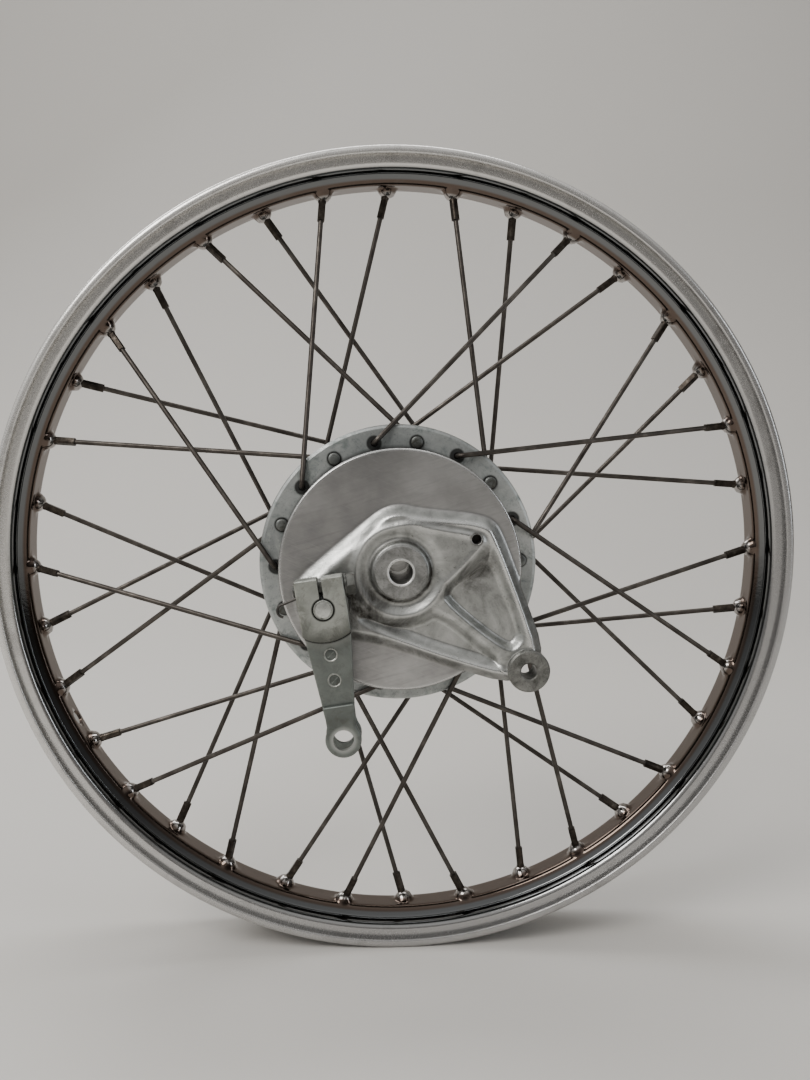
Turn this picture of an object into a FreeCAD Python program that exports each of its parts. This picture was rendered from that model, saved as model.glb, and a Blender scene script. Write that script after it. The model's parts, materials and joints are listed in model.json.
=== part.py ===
import FreeCAD, Part
import math
import os
import Sketcher

# Rear wheel of a small motorcycle: laced rim, drum-brake hub, brake panel and brake lever.
# Frame: origin at the wheel centre, +Y along the spin axis away from the brake, +Z up.
# "depth" below is the distance towards the brake side, so depth = -Y.

doc = FreeCAD.newDocument("wheel")

SIZES = {
    "rim_lip_radius": 226.5, "rim_lip_half_width": 24.0, "rim_seat_radius": 215.6,
    "rim_seat_half_width": 17.6, "rim_well_radius": 209.3, "rim_well_half_width": 7.4,
    "rim_shoulder_half_width": 10.6, "rim_sheet": 1.6,
    "dimple_radius": 5.2, "dimple_offset": 2.5, "nipple_hole_radius": 2.5,
    "valve_hole_radius": 4.2, "valve_angle": 206.5,
    "spoke_radius": 1.4, "spoke_circle_radius": 66.5, "spoke_lead_angle": 40.0,
    "spoke_head_radius": 3.2, "spoke_bend_radius": 3.0,
    "nipple_radius": 2.3, "nipple_flats": 3.9, "nipple_head_radius": 3.5, "nipple_reach": 17.0,
    "flange_radius": 75.5, "flange_thick": 6.0, "brake_flange_depth": 38.6,
    "chain_flange_depth": -21.5, "spoke_hole_radius": 1.9,
    "drum_radius": 55.0, "liner_radius": 58.5, "drum_outer_radius": 61.6, "drum_mouth_depth": 62.0,
    "drum_floor_depth": 30.0, "hub_barrel_radius": 46.0, "hub_end_depth": -32.0,
    "bearing_outer_radius": 18.5, "bearing_inner_radius": 9.2, "bearing_width": 12.0,
    "brake_bearing_depth": 26.0, "chain_bearing_depth": -34.0, "axle_bore_radius": 6.05,
    "bearing_boss_radius": 24.0, "ball_radius": 2.3,
    "cush_circle_radius": 37.0, "cush_pocket_radius": 12.5, "cush_pocket_length": 18.0,
    "cush_sleeve_radius": 7.0, "stud_hole_radius": 5.1,
    "panel_radius": 62.6, "panel_face_depth": 70.5, "panel_edge_depth": 63.2,
    "panel_raised_depth": 75.5, "panel_plateau_depth": 77.0, "panel_boss_depth": 80.0,
    "panel_boss_radius": 13.9, "panel_plateau_radius": 25.5, "panel_inner_boss_depth": 54.0,
    "pivot_radius": 42.0, "pivot_angle": 22.6, "anchor_pin_radius": 5.0, "cam_bore_radius": 6.05,
    "cam_shaft_radius": 6.0, "cam_boss_radius": 12.0, "cam_boss_depth": 80.0,
    "eye_radius": 83.6, "eye_angle": -38.4, "eye_boss_radius": 10.9, "eye_hole_radius": 4.1,
    "shoe_outer_radius": 50.0, "shoe_web_inner_radius": 33.0, "shoe_web_thick": 5.0,
    "shoe_table_thick": 2.5, "lining_thick": 4.0, "shoe_width": 24.0, "shoe_depth": 46.5,
    "cam_half_thick": 3.5, "cam_half_width": 7.0, "cam_gap": 0.3,
    "lever_length": 66.9, "lever_angle": 7.9, "lever_head_half_width": 12.1,
    "lever_head_back_depth": 84.0, "lever_head_top": 15.6,
    "lever_head_thick": 11.0, "lever_plate_depth": 86.0, "lever_plate_thick": 3.6,
    "lever_eye_radius": 9.1, "lever_eye_hole_radius": 5.2, "lever_fork_gap": 9.0,
    "clamp_bolt_radius": 3.0, "clamp_bolt_height": 10.2, "serration_radius": 4.85,
}

sheet = doc.addObject("Spreadsheet::Sheet", "dims")


class Size(float):
    """A driving dimension: its value in millimetres and the expression that gives it."""

    def __new__(cls, value, text):
        size = float.__new__(cls, value)
        size.text = text
        return size

    def __add__(self, other):
        return Size(float(self) + float(other), "(%s + %s)" % (self.text, expression(other)))

    def __sub__(self, other):
        return Size(float(self) - float(other), "(%s - %s)" % (self.text, expression(other)))

    def __mul__(self, other):
        return Size(float(self) * float(other), "(%s * %s)" % (self.text, expression(other)))

    def __neg__(self):
        return Size(-float(self), "(-1 * %s)" % self.text)


def expression(value):
    return value.text if isinstance(value, Size) else repr(float(value))


def fill_sheet():
    found = {}
    for row, (alias, value) in enumerate(SIZES.items(), start=1):
        sheet.set("A%d" % row, alias)
        sheet.set("B%d" % row, str(value))
        sheet.setAlias("B%d" % row, alias)
        found[alias] = Size(value, "dims." + alias)
    doc.recompute()
    return found


S = fill_sheet()
ORIGIN = FreeCAD.Vector(0, 0, 0)
SPIN_AXIS = FreeCAD.Vector(0, 1, 0)
SUBPARTS = []


# ---------------------------------------------------------------- helpers

def new_body(name):
    body = doc.addObject("PartDesign::Body", name)
    body.Label = name
    SUBPARTS.append(body)
    return body


def new_feature(name, shape):
    feature = doc.addObject("Part::Feature", name)
    feature.Label = name
    feature.Shape = shape
    feature.Placement = FreeCAD.Placement()
    SUBPARTS.append(feature)
    return feature


def plane(body, role):
    return [item for item in body.Origin.OriginFeatures if item.Role == role][0]


def new_sketch(body, name, role="XZ_Plane", depth=0.0):
    """A sketch on an origin plane; on XZ_Plane its normal points to the brake side."""
    sketch = body.newObject("Sketcher::SketchObject", name)
    sketch.AttachmentSupport = [(plane(body, role), "")]
    sketch.MapMode = "FlatFace"
    sketch.AttachmentOffset = FreeCAD.Placement(FreeCAD.Vector(0, 0, depth), FreeCAD.Rotation())
    if isinstance(depth, Size):
        sketch.setExpression("AttachmentOffset.Base.z", depth.text)
    return sketch


def drive(sketch, index, value):
    if isinstance(value, Size):
        sketch.setExpression("Constraints[%d]" % index, value.text)


def place_point(sketch, geo, pos, point):
    """Fix one point by its two distances from the sketch origin."""
    for kind, value in (("DistanceX", point[0]), ("DistanceY", point[1])):
        index = sketch.addConstraint(Sketcher.Constraint(kind, -1, 1, geo, pos, float(value)))
        drive(sketch, index, value)


def polygon(sketch, points):
    """Closed outline of straight lines with every corner driven."""
    first = sketch.GeometryCount
    count = len(points)
    for here, there in zip(points, points[1:] + points[:1]):
        start = FreeCAD.Vector(float(here[0]), float(here[1]), 0)
        end = FreeCAD.Vector(float(there[0]), float(there[1]), 0)
        sketch.addGeometry(Part.LineSegment(start, end), False)
    for step in range(count):
        following = first + (step + 1) % count
        sketch.addConstraint(Sketcher.Constraint("Coincident", first + step, 2, following, 1))
    for step, point in enumerate(points):
        place_point(sketch, first + step, 1, point)


def circle(sketch, centre, radius):
    middle = FreeCAD.Vector(float(centre[0]), float(centre[1]), 0)
    geo = sketch.addGeometry(Part.Circle(middle, FreeCAD.Vector(0, 0, 1), float(radius)), False)
    index = sketch.addConstraint(Sketcher.Constraint("Radius", geo, float(radius)))
    drive(sketch, index, radius)
    place_point(sketch, geo, 3, centre)


def ring(sketch, centre, outer, inner):
    circle(sketch, centre, outer)
    circle(sketch, centre, inner)


def pad(body, sketch, length, backwards=False):
    feature = body.newObject("PartDesign::Pad", sketch.Name + "_pad")
    feature.Profile = sketch
    feature.Length = float(length)
    feature.Reversed = backwards
    if isinstance(length, Size):
        feature.setExpression("Length", length.text)
    doc.recompute()
    return feature


def pocket(body, sketch, length, backwards=False):
    feature = body.newObject("PartDesign::Pocket", sketch.Name + "_pocket")
    feature.Profile = sketch
    feature.Length = float(length)
    feature.Reversed = backwards
    if isinstance(length, Size):
        feature.setExpression("Length", length.text)
    doc.recompute()
    return feature


def spin(body, sketch, kind="PartDesign::Revolution"):
    """Turn a profile drawn as (radius, Y) around the spin axis."""
    feature = body.newObject(kind, sketch.Name + "_turned")
    feature.Profile = sketch
    feature.ReferenceAxis = (sketch, ["V_Axis"])
    feature.Angle = 360.0
    doc.recompute()
    return feature


def turned(name, points):
    """A body turned about the spin axis from an outline of (radius, Y) corners."""
    body = new_body(name)
    sketch = new_sketch(body, name + "_profile", "XY_Plane")
    polygon(sketch, points)
    spin(body, sketch)
    return body


def tube(name, outer, inner, depth_from, depth_to):
    body = turned(name, [(outer, -depth_from), (outer, -depth_to), (inner, -depth_to),
                         (inner, -depth_from)])
    return body



def polar(body, feature, count, name):
    pattern = body.newObject("PartDesign::PolarPattern", name)
    pattern.Originals = [feature]
    pattern.Axis = (body_axis(body), [""])
    pattern.Angle = 360.0
    pattern.Occurrences = count
    body.Tip = pattern
    doc.recompute()
    return pattern


def body_axis(body):
    return [item for item in body.Origin.OriginFeatures if item.Role == "Y_Axis"][0]


def on_circle(radius, degrees):
    """Corner at a polar position in the wheel plane, still driven by the radius."""
    angle = math.radians(degrees)
    return (radius * math.cos(angle), radius * math.sin(angle))


def at(radius, degrees, depth):
    angle = math.radians(degrees)
    return FreeCAD.Vector(radius * math.cos(angle), -depth, radius * math.sin(angle))


def copies(shape, count):
    """The shape repeated evenly around the spin axis, as separate solids."""
    group = []
    for step in range(count):
        one = shape.copy()
        one.rotate(ORIGIN, SPIN_AXIS, 360.0 / count * step)
        group.append(one)
    return Part.makeCompound(group)


def ball(centre, radius):
    one = Part.makeSphere(radius)
    one.translate(centre)
    return one


# ---------------------------------------------------------------- lacing geometry

HOLES_PER_FLANGE = 18
PER_GROUP = HOLES_PER_FLANGE // 2
BRAKE_ELBOW_OUT, BRAKE_HEAD_OUT = 21.0, 1.0
CHAIN_HEAD_OUT, CHAIN_ELBOW_OUT = 11.0, 31.0

LACING = {
    # name: hub angle, turn towards the rim, side of the wheel, side of the elbow
    "spokes_brake_elbow_out": (BRAKE_ELBOW_OUT, -1, +1, +1),
    "spokes_brake_head_out": (BRAKE_HEAD_OUT, +1, +1, -1),
    "spokes_chain_head_out": (CHAIN_HEAD_OUT, -1, -1, +1),
    "spokes_chain_elbow_out": (CHAIN_ELBOW_OUT, +1, -1, -1),
}


def flange_faces(side):
    """Depths of the two faces of the brake-side (+1) or chain-side (-1) flange."""
    if side > 0:
        front = float(S["brake_flange_depth"])
        return front, front - S["flange_thick"]
    front = S["chain_flange_depth"] + S["flange_thick"]
    return front, front - S["flange_thick"]


def nipple_centre(name):
    hub_angle, turn, side, elbow = LACING[name]
    angle = hub_angle + turn * S["spoke_lead_angle"]
    return at(S["rim_well_radius"], angle, side * S["dimple_offset"])


def spoke_route(name):
    """Head point, bend start, bend middle, bend end and the straight run's direction."""
    hub_angle, turn, side, elbow = LACING[name]
    front, back = flange_faces(side)
    exit_depth, head_depth = (front, back) if elbow > 0 else (back, front)
    exit_depth = exit_depth + elbow * 1.0
    radius = S["spoke_circle_radius"]
    head = at(radius, hub_angle, head_depth - elbow * 1.1)
    start = at(radius, hub_angle, exit_depth)
    bend = S["spoke_bend_radius"]
    into = FreeCAD.Vector(0, -elbow, 0)
    target = nipple_centre(name)
    flat = target - start
    flat.y = 0
    flat.normalize()
    pivot = start + flat * bend
    swing = target - pivot
    along, across = swing.dot(flat), swing.dot(into)
    reach = math.hypot(along, across)
    turn_angle = math.atan2(across, along) + math.acos(bend / reach)
    outward = flat * math.cos(turn_angle) + into * math.sin(turn_angle)
    end = pivot + outward * bend
    middle_angle = (math.pi + turn_angle) / 2
    middle = pivot + (flat * math.cos(middle_angle) + into * math.sin(middle_angle)) * bend
    straight = target - end
    straight.normalize()
    return head, start, middle, end, straight, target


def spoke_solid(name):
    head, start, middle, end, straight, target = spoke_route(name)
    tip = target - straight * 6.0
    route = Part.Wire([Part.makeLine(head, start), Part.Arc(start, middle, end).toShape(),
                       Part.makeLine(end, tip)])
    into = start - head
    into.normalize()
    section = Part.Wire([Part.makeCircle(S["spoke_radius"], head, into)])
    wire = route.makePipeShell([section], True, False)
    cap = Part.makeCone(S["spoke_head_radius"], S["spoke_radius"], 1.1, head, into)
    button = Part.makeCylinder(S["spoke_head_radius"], 0.9, head - into * 0.9, into)
    return wire.fuse([cap, button]).removeSplitter()


def nipple_solid(name):
    straight, centre = spoke_route(name)[4:]
    inward = straight * -1
    head = ball(centre, S["nipple_head_radius"])
    block = Part.makeCylinder(6, 12, centre + straight * 1.6, straight)
    barrel = Part.makeCylinder(S["nipple_radius"], S["nipple_reach"], centre, inward)
    across = float(S["nipple_flats"])
    square = Part.makeBox(across, across, 20, FreeCAD.Vector(-across / 2, -across / 2, 0))
    turn = FreeCAD.Rotation(FreeCAD.Vector(0, 0, 1), inward)
    square.Placement = FreeCAD.Placement(centre + inward * 6.2, turn)
    collar = Part.makeCylinder(S["nipple_radius"], 6.2, centre, inward)
    body = head.cut(block).fuse(collar).fuse(barrel.common(square))
    bore = Part.makeCylinder(S["spoke_radius"] + 0.1, 15, centre + inward * 4, inward)
    return body.cut(bore).removeSplitter()


# ---------------------------------------------------------------- rim

def sheet_outline(centreline, radii, thickness):
    """Corners and corner radii of both faces of a bent sheet, from its middle line."""
    half = float(thickness) / 2
    points = [FreeCAD.Vector(float(y), float(r), 0) for y, r in centreline]
    left, right = [], []
    for index, point in enumerate(points):
        before = (point - points[index - 1]).normalize() if index else None
        after = (points[index + 1] - point).normalize() if index + 1 < len(points) else None
        first, second = before or after, after or before
        side = FreeCAD.Vector(-first.y, first.x, 0)
        normal = FreeCAD.Vector(-first.y - second.y, first.x + second.x, 0).normalize()
        reach = half / normal.dot(side)
        bend = first.x * second.y - first.y * second.x
        lean = half if bend < 0 else -half
        radius = radii[index]
        left.append((point + normal * reach, radius + lean if radius else 0))
        right.append((point - normal * reach, radius - lean if radius else 0))
    return left + right[::-1]


def rounded_polygon(sketch, corners):
    """Closed outline whose corners (point, radius) are joined by tangent arcs."""
    starts, ends, arcs = [], [], []
    for index, (point, radius) in enumerate(corners):
        back = (corners[index - 1][0] - point).normalize()
        ahead = (corners[(index + 1) % len(corners)][0] - point).normalize()
        half_angle = back.getAngle(ahead) / 2
        setback = radius / math.tan(half_angle)
        starts.append(point + back * setback)
        ends.append(point + ahead * setback)
        inward = (back + ahead).normalize()
        arcs.append(point + inward * (radius / math.sin(half_angle) - radius))
    for index, (point, radius) in enumerate(corners):
        if radius:
            arc = Part.Arc(flip(starts[index]), flip(arcs[index]), flip(ends[index]))
            sketch.addGeometry(arc, False)
        following = (index + 1) % len(corners)
        sketch.addGeometry(Part.LineSegment(flip(ends[index]), flip(starts[following])), False)


def flip(point):
    """(Y, radius) of a section to (radius, Y) of its sketch."""
    return FreeCAD.Vector(point.y, point.x, 0)


def rim_section():
    half = S["rim_sheet"] * 0.5
    lip_y = S["rim_lip_half_width"] - half
    lip_r = S["rim_lip_radius"] - half
    side = [(lip_y, lip_r - 3.4), (lip_y, lip_r), (lip_y - 4.4, lip_r),
            (S["rim_seat_half_width"], S["rim_seat_radius"]),
            (S["rim_shoulder_half_width"], S["rim_seat_radius"] - 0.6),
            (S["rim_well_half_width"], S["rim_well_radius"])]
    radii = [0, 1.9, 2.2, 2.8, 2.4, 2.4]
    line = [(-y, r) for y, r in side] + [(y, r) for y, r in side[::-1]]
    return line, radii + radii[::-1]


def make_rim():
    blank = doc.addObject("PartDesign::Body", "rim_blank")
    sketch = new_sketch(blank, "rim_profile", "XY_Plane")
    line, radii = rim_section()
    rounded_polygon(sketch, sheet_outline(line, radii, S["rim_sheet"]))
    spin(blank, sketch)
    bumps, hollows = [], []
    for name in LACING:
        centre = nipple_centre(name)
        straight = spoke_route(name)[4]
        hole = Part.makeCylinder(S["nipple_hole_radius"], 12, centre, straight * -1)
        hollow = ball(centre, S["dimple_radius"] - S["rim_sheet"])
        bumps += copies(ball(centre, S["dimple_radius"]), PER_GROUP).Solids
        hollows += copies(hollow.fuse(hole), PER_GROUP).Solids
    valve = at(S["rim_well_radius"] - 10, S["valve_angle"], 0)
    hollows.append(Part.makeCylinder(S["valve_hole_radius"], 20, valve, at(1, S["valve_angle"], 0)))
    well_space = Part.makeCylinder(250, 60, FreeCAD.Vector(0, -30, 0), SPIN_AXIS)
    well_space = well_space.cut(Part.makeCylinder(S["rim_well_radius"] + 0.5, 60,
                                                  FreeCAD.Vector(0, -30, 0), SPIN_AXIS))
    bump_group = [bump.cut(well_space) for bump in bumps]
    raised = doc.addObject("Part::Feature", "rim_dimples")
    raised.Shape = Part.makeCompound(bump_group)
    pressed = doc.addObject("Part::Feature", "rim_holes")
    pressed.Shape = Part.makeCompound(hollows)
    joined = doc.addObject("Part::Fuse", "rim_dimpled")
    joined.Base = blank
    joined.Tool = raised
    rim = doc.addObject("Part::Cut", "rim")
    rim.Base = joined
    rim.Tool = pressed
    rim.Label = "rim"
    SUBPARTS.append(rim)
    doc.recompute()


# ---------------------------------------------------------------- spokes and nipples

def make_spokes():
    for name in LACING:
        new_feature(name, copies(spoke_solid(name), PER_GROUP))
    for node, names in (("nipples_brake", ("spokes_brake_elbow_out", "spokes_brake_head_out")),
                        ("nipples_chain", ("spokes_chain_head_out", "spokes_chain_elbow_out"))):
        solids = [solid for name in names for solid in copies(nipple_solid(name), PER_GROUP).Solids]
        new_feature(node, Part.makeCompound(solids))


# ---------------------------------------------------------------- hub

def hub_outline():
    front = S["brake_flange_depth"]
    back = front - S["flange_thick"]
    chain_out = S["chain_flange_depth"]
    chain_in = chain_out + S["flange_thick"]
    rim_r, drum_r, barrel = S["flange_radius"], S["drum_outer_radius"], S["hub_barrel_radius"]
    seat, boss = S["bearing_outer_radius"], S["bearing_boss_radius"]
    floor, end = S["drum_floor_depth"], S["hub_end_depth"]
    brake_seat = S["brake_bearing_depth"]
    chain_seat = S["chain_bearing_depth"] + S["bearing_width"]
    return [(S["liner_radius"], -S["drum_mouth_depth"]), (drum_r, -S["drum_mouth_depth"]),
            (drum_r, -front - 1.2), (drum_r + 1.2, -front), (rim_r - 1.8, -front),
            (rim_r - 0.5, -front + 0.5), (rim_r, -front + 1.8), (rim_r, -back - 0.8),
            (rim_r - 0.8, -back), (drum_r, -back), (drum_r - 3.5, -floor + 5.0),
            (barrel + 2.0, -floor + 14.0), (barrel, -floor + 22.0), (barrel, -chain_in - 8.0),
            (barrel + 4.0, -chain_in - 2.0), (drum_r - 3.0, -chain_in), (rim_r - 0.8, -chain_in),
            (rim_r, -chain_in + 0.8), (rim_r, -chain_out - 1.8), (rim_r - 1.8, -chain_out),
            (drum_r - 5.0, -chain_out), (drum_r - 7.0, -chain_out + 2.0), (drum_r - 8.0, -end),
            (boss + 3.0, -end), (boss + 2.0, -end + 5.0), (seat, -end + 5.0), (seat, -chain_seat),
            (seat - 4.0, -chain_seat), (seat - 4.0, -brake_seat), (seat, -brake_seat),
            (seat, -brake_seat - 13.0), (boss, -brake_seat - 13.0), (boss + 1.5, -floor),
            (S["liner_radius"], -floor)]


def hole_ring(body, name, centre, radius, depth, length, count):
    sketch = new_sketch(body, name, "XZ_Plane", depth)
    circle(sketch, centre, radius)
    cut = pocket(body, sketch, length)
    polar(body, cut, count, name + "_ring")


def make_hub():
    body = turned("hub", hub_outline())
    step = 360.0 / HOLES_PER_FLANGE
    for name, start, front in (("brake_side_holes", BRAKE_HEAD_OUT, S["brake_flange_depth"]),
                               ("chain_side_holes", CHAIN_HEAD_OUT,
                                S["chain_flange_depth"] + S["flange_thick"])):
        centre = on_circle(S["spoke_circle_radius"], start % step)
        hole_ring(body, name, centre, S["spoke_hole_radius"], front + 0.5,
                  S["flange_thick"] + 1.0, HOLES_PER_FLANGE)
    sketch = new_sketch(body, "cush_pocket", "XZ_Plane", S["hub_end_depth"])
    circle(sketch, on_circle(S["cush_circle_radius"], 45.0), S["cush_pocket_radius"])
    cut = pocket(body, sketch, S["cush_pocket_length"], True)
    polar(body, cut, 4, "cush_pockets")
    tube("drum_liner", S["liner_radius"], S["drum_radius"], S["drum_floor_depth"],
         S["drum_mouth_depth"] - 0.4)


def ring_group(name, count, first, circle_radius, outer, inner, depth_from, depth_to):
    """Equal sleeves on a circle, as separate solids of one node."""
    centre = at(circle_radius, first, depth_to)
    sleeve = Part.makeCylinder(outer, depth_to - depth_from, centre, SPIN_AXIS)
    sleeve = sleeve.cut(Part.makeCylinder(inner, depth_to - depth_from, centre, SPIN_AXIS))
    new_feature(name, copies(sleeve, count))


def make_cush_drive():
    outer_face = float(S["hub_end_depth"])
    floor = outer_face + S["cush_pocket_length"]
    ring_group("cush_rubbers", 4, 45.0, S["cush_circle_radius"], S["cush_pocket_radius"] - 0.04,
               S["cush_sleeve_radius"] + 0.02, outer_face, floor)
    ring_group("cush_sleeves", 4, 45.0, S["cush_circle_radius"], S["cush_sleeve_radius"],
               S["stud_hole_radius"], outer_face - 3.0, floor)


def make_bearing(side, near_depth):
    """Inner ring, outer ring and balls of one bearing that starts at near_depth."""
    far_depth = near_depth + S["bearing_width"]
    inner, outer = S["bearing_inner_radius"], S["bearing_outer_radius"]
    tube("bearing_%s_outer" % side, outer, outer - 3.6, near_depth, far_depth)
    tube("bearing_%s_inner" % side, inner, S["axle_bore_radius"], near_depth, far_depth)
    pitch = (float(inner) + outer - 3.6) / 2
    middle = ball(at(pitch, 0, near_depth + S["bearing_width"] / 2), S["ball_radius"])
    new_feature("bearing_%s_balls" % side, copies(middle, 8))


def make_axle_stack():
    bore = S["axle_bore_radius"]
    brake_start = S["brake_bearing_depth"]
    chain_end = S["chain_bearing_depth"] + S["bearing_width"]
    make_bearing("brake", brake_start)
    make_bearing("chain", S["chain_bearing_depth"])
    tube("distance_tube", S["bearing_inner_radius"], bore, chain_end, brake_start)
    tube("brake_collar", S["bearing_inner_radius"] + 0.6, bore, brake_start + S["bearing_width"],
         S["panel_inner_boss_depth"])
    seal_depth = S["hub_end_depth"] - 4.8
    tube("chain_seal", S["bearing_outer_radius"], S["bearing_inner_radius"] + 2.2, seal_depth,
         S["chain_bearing_depth"] - 0.3)
    end = S["chain_bearing_depth"] - 16.0
    turned("chain_collar", [(S["bearing_inner_radius"] + 1.8, -S["chain_bearing_depth"]),
                            (S["bearing_inner_radius"] + 1.8, -seal_depth + 2.0),
                            (S["bearing_inner_radius"] + 4.8, -seal_depth + 3.0),
                            (S["bearing_inner_radius"] + 4.8, -seal_depth + 5.0),
                            (S["bearing_inner_radius"], -seal_depth + 6.0),
                            (S["bearing_inner_radius"], -end), (bore, -end),
                            (bore, -S["chain_bearing_depth"])])


# ---------------------------------------------------------------- brake panel

CAM_ANGLE = SIZES["pivot_angle"] + 180.0


def face_outline(body, name, depth, points):
    sketch = new_sketch(body, name, "XZ_Plane", depth)
    polygon(sketch, points)
    return sketch


def boss(body, name, centre, radius, depth_from, depth_to):
    sketch = new_sketch(body, name, "XZ_Plane", depth_from)
    circle(sketch, centre, radius)
    return pad(body, sketch, depth_to - depth_from)


def bore(body, name, centre, radius, depth_from, depth_to):
    sketch = new_sketch(body, name, "XZ_Plane", depth_from)
    circle(sketch, centre, radius)
    return pocket(body, sketch, depth_to - depth_from, True)


def make_panel():
    edge, face = S["panel_edge_depth"], S["panel_face_depth"]
    raised, plateau = S["panel_raised_depth"], S["panel_plateau_depth"]
    outer = S["panel_radius"]
    axle_boss, inner_end = S["panel_boss_radius"], S["panel_inner_boss_depth"]
    cam = on_circle(S["pivot_radius"], CAM_ANGLE)
    anchor = on_circle(S["pivot_radius"], SIZES["pivot_angle"])
    eye = on_circle(S["eye_radius"], SIZES["eye_angle"])
    body = turned("brake_panel", [
        (axle_boss, -inner_end), (axle_boss + 1.5, -edge - 2.6), (50.0, -edge - 2.6),
        (50.4, -edge + 2.6), (54.2, -edge + 2.6), (54.2, -edge), (outer, -edge),
        (outer, -face + 0.8), (outer - 0.8, -face), (0.0, -face), (0.0, -inner_end)])
    arm = [(-53.0, -6.0), (-35.0, 8.0), (-18.0, 22.6), (-8.0, 29.4), (1.0, 31.0), (8.0, 29.6),
           (44.0, 24.6), (49.0, 19.0), (61.0, -10.0), (76.2, -49.6), (60.6, -61.2), (24.0, -48.6),
           (-8.0, -37.0), (-25.0, -33.5), (-44.0, -31.5), (-53.0, -22.0)]
    pad(body, face_outline(body, "raised_casting", edge + 3.2, arm), raised - edge - 3.2)
    boss(body, "axle_plateau", (0.0, 0.0), S["panel_plateau_radius"], face - 1.0, plateau)
    boss(body, "cam_boss_outside", cam, S["cam_boss_radius"], face - 1.0, S["cam_boss_depth"])
    boss(body, "cam_boss_inside", cam, 10.0, edge - 3.6, face)
    boss(body, "anchor_boss_inside", anchor, 9.5, edge - 3.6, face)
    boss(body, "anchor_boss_outside", anchor, 7.5, face - 1.0, raised)
    boss(body, "torque_eye", eye, S["eye_boss_radius"], edge - 0.7, plateau + 2.0)
    boss(body, "axle_boss", (0.0, 0.0), axle_boss, face, S["panel_boss_depth"])
    pocket_floor = raised - 4.4
    upper = [(33.5, 1.0), (44.6, 9.5), (49.0, 4.0), (64.0, -33.0), (57.0, -38.5), (27.5, -14.5)]
    lower = [(20.5, -20.5), (50.0, -45.0), (48.0, -51.0), (16.0, -39.5), (-16.0, -29.0),
             (-12.0, -25.0), (1.0, -27.0), (12.0, -24.5)]
    for name, points in (("upper_recess", upper), ("lower_recess", lower)):
        pocket(body, face_outline(body, name, pocket_floor, points), 12.0, True)
    bore(body, "axle_bore", (0.0, 0.0), S["axle_bore_radius"], inner_end - 1.0,
         S["panel_boss_depth"] + 1.0)
    bore(body, "cam_bore", cam, S["cam_bore_radius"], edge - 5.0, S["cam_boss_depth"] + 1.0)
    bore(body, "anchor_bore", anchor, S["anchor_pin_radius"], edge - 5.0, face - 0.5)
    bore(body, "anchor_sight_hole", anchor, 2.6, edge - 5.0, raised + 1.0)
    bore(body, "torque_eye_bore", eye, S["eye_hole_radius"], edge - 2.0, plateau + 3.0)


def offset_tube(name, centre_angle, circle_radius, outer, inner, depth_from, depth_to):
    body = new_body(name)
    sketch = new_sketch(body, name + "_profile", "XZ_Plane", depth_from)
    centre = on_circle(circle_radius, centre_angle)
    circle(sketch, centre, outer)
    if inner:
        circle(sketch, centre, inner)
    pad(body, sketch, depth_to - depth_from)


def make_anchor():
    low, high = S["shoe_depth"] - 14.5, S["panel_face_depth"] - 0.6
    pin = S["anchor_pin_radius"]
    offset_tube("anchor_pin", SIZES["pivot_angle"], S["pivot_radius"], pin, None, low, high)
    offset_tube("anchor_washer", SIZES["pivot_angle"], S["pivot_radius"], pin + 3.5, pin, low + 0.6,
                low + 2.0)
    offset_tube("cam_seal", CAM_ANGLE, S["pivot_radius"], 10.0, S["cam_shaft_radius"] + 0.35,
                S["cam_boss_depth"], S["cam_boss_depth"] + 1.6)


# ---------------------------------------------------------------- brake shoes

SPRING_LEG_X, SPRING_HOOK_Z, SPRING_HOLE_RADIUS = 27.0, 27.0, 2.2

def shoe_frame():
    """Rotation that lays the anchor-to-cam line of the shoe sketches on the panel's."""
    return FreeCAD.Rotation(SPIN_AXIS, -SIZES["pivot_angle"])


def arc_between(sketch, radius, centre_x, start, end):
    circle_geo = Part.Circle(FreeCAD.Vector(centre_x, 0, 0), FreeCAD.Vector(0, 0, 1), float(radius))
    sketch.addGeometry(Part.ArcOfCircle(circle_geo, start, end), False)


def line_between(sketch, start, end):
    sketch.addGeometry(Part.LineSegment(FreeCAD.Vector(*start, 0), FreeCAD.Vector(*end, 0)), False)


def arc_band(sketch, outer, inner, start_deg, end_deg):
    """Band between two radii from one angle to another."""
    start, end = math.radians(start_deg), math.radians(end_deg)
    arc_between(sketch, outer, 0, min(start, end), max(start, end))
    arc_between(sketch, inner, 0, min(start, end), max(start, end))
    for angle in (start, end):
        line_between(sketch, (inner * math.cos(angle), inner * math.sin(angle)),
                     (outer * math.cos(angle), outer * math.sin(angle)))


def shoe_web(sketch, side):
    """Web with a half-round seat on the anchor pin and a flat pad for the cam."""
    outer = S["shoe_outer_radius"] - S["shoe_table_thick"] + 0.5
    inner = float(S["shoe_web_inner_radius"])
    notch = S["anchor_pin_radius"] + 0.3
    pivot = float(S["pivot_radius"])
    low = 0.8
    pad_height = S["cam_half_thick"] + S["cam_gap"]
    split = {r: (math.asin(low / r), math.pi - math.asin(pad_height / r)) for r in (outer, inner)}
    notch_angle = math.asin(low / notch)
    spans = [(outer, 0, split[outer]), (inner, 0, split[inner]),
             (notch, pivot, (notch_angle, math.pi - notch_angle))]
    for radius, centre_x, (start, end) in spans:
        if side < 0:
            start, end = -end, -start
        arc_between(sketch, radius, centre_x, start, end)
    out_x, in_x = outer * math.cos(split[outer][0]), inner * math.cos(split[inner][0])
    notch_x = notch * math.cos(notch_angle)
    cam_out, cam_in = outer * math.cos(split[outer][1]), inner * math.cos(split[inner][1])
    for start, end, height in ((in_x, pivot - notch_x, low), (pivot + notch_x, out_x, low),
                               (cam_out, cam_in, pad_height)):
        line_between(sketch, (start, side * height), (end, side * height))


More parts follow.
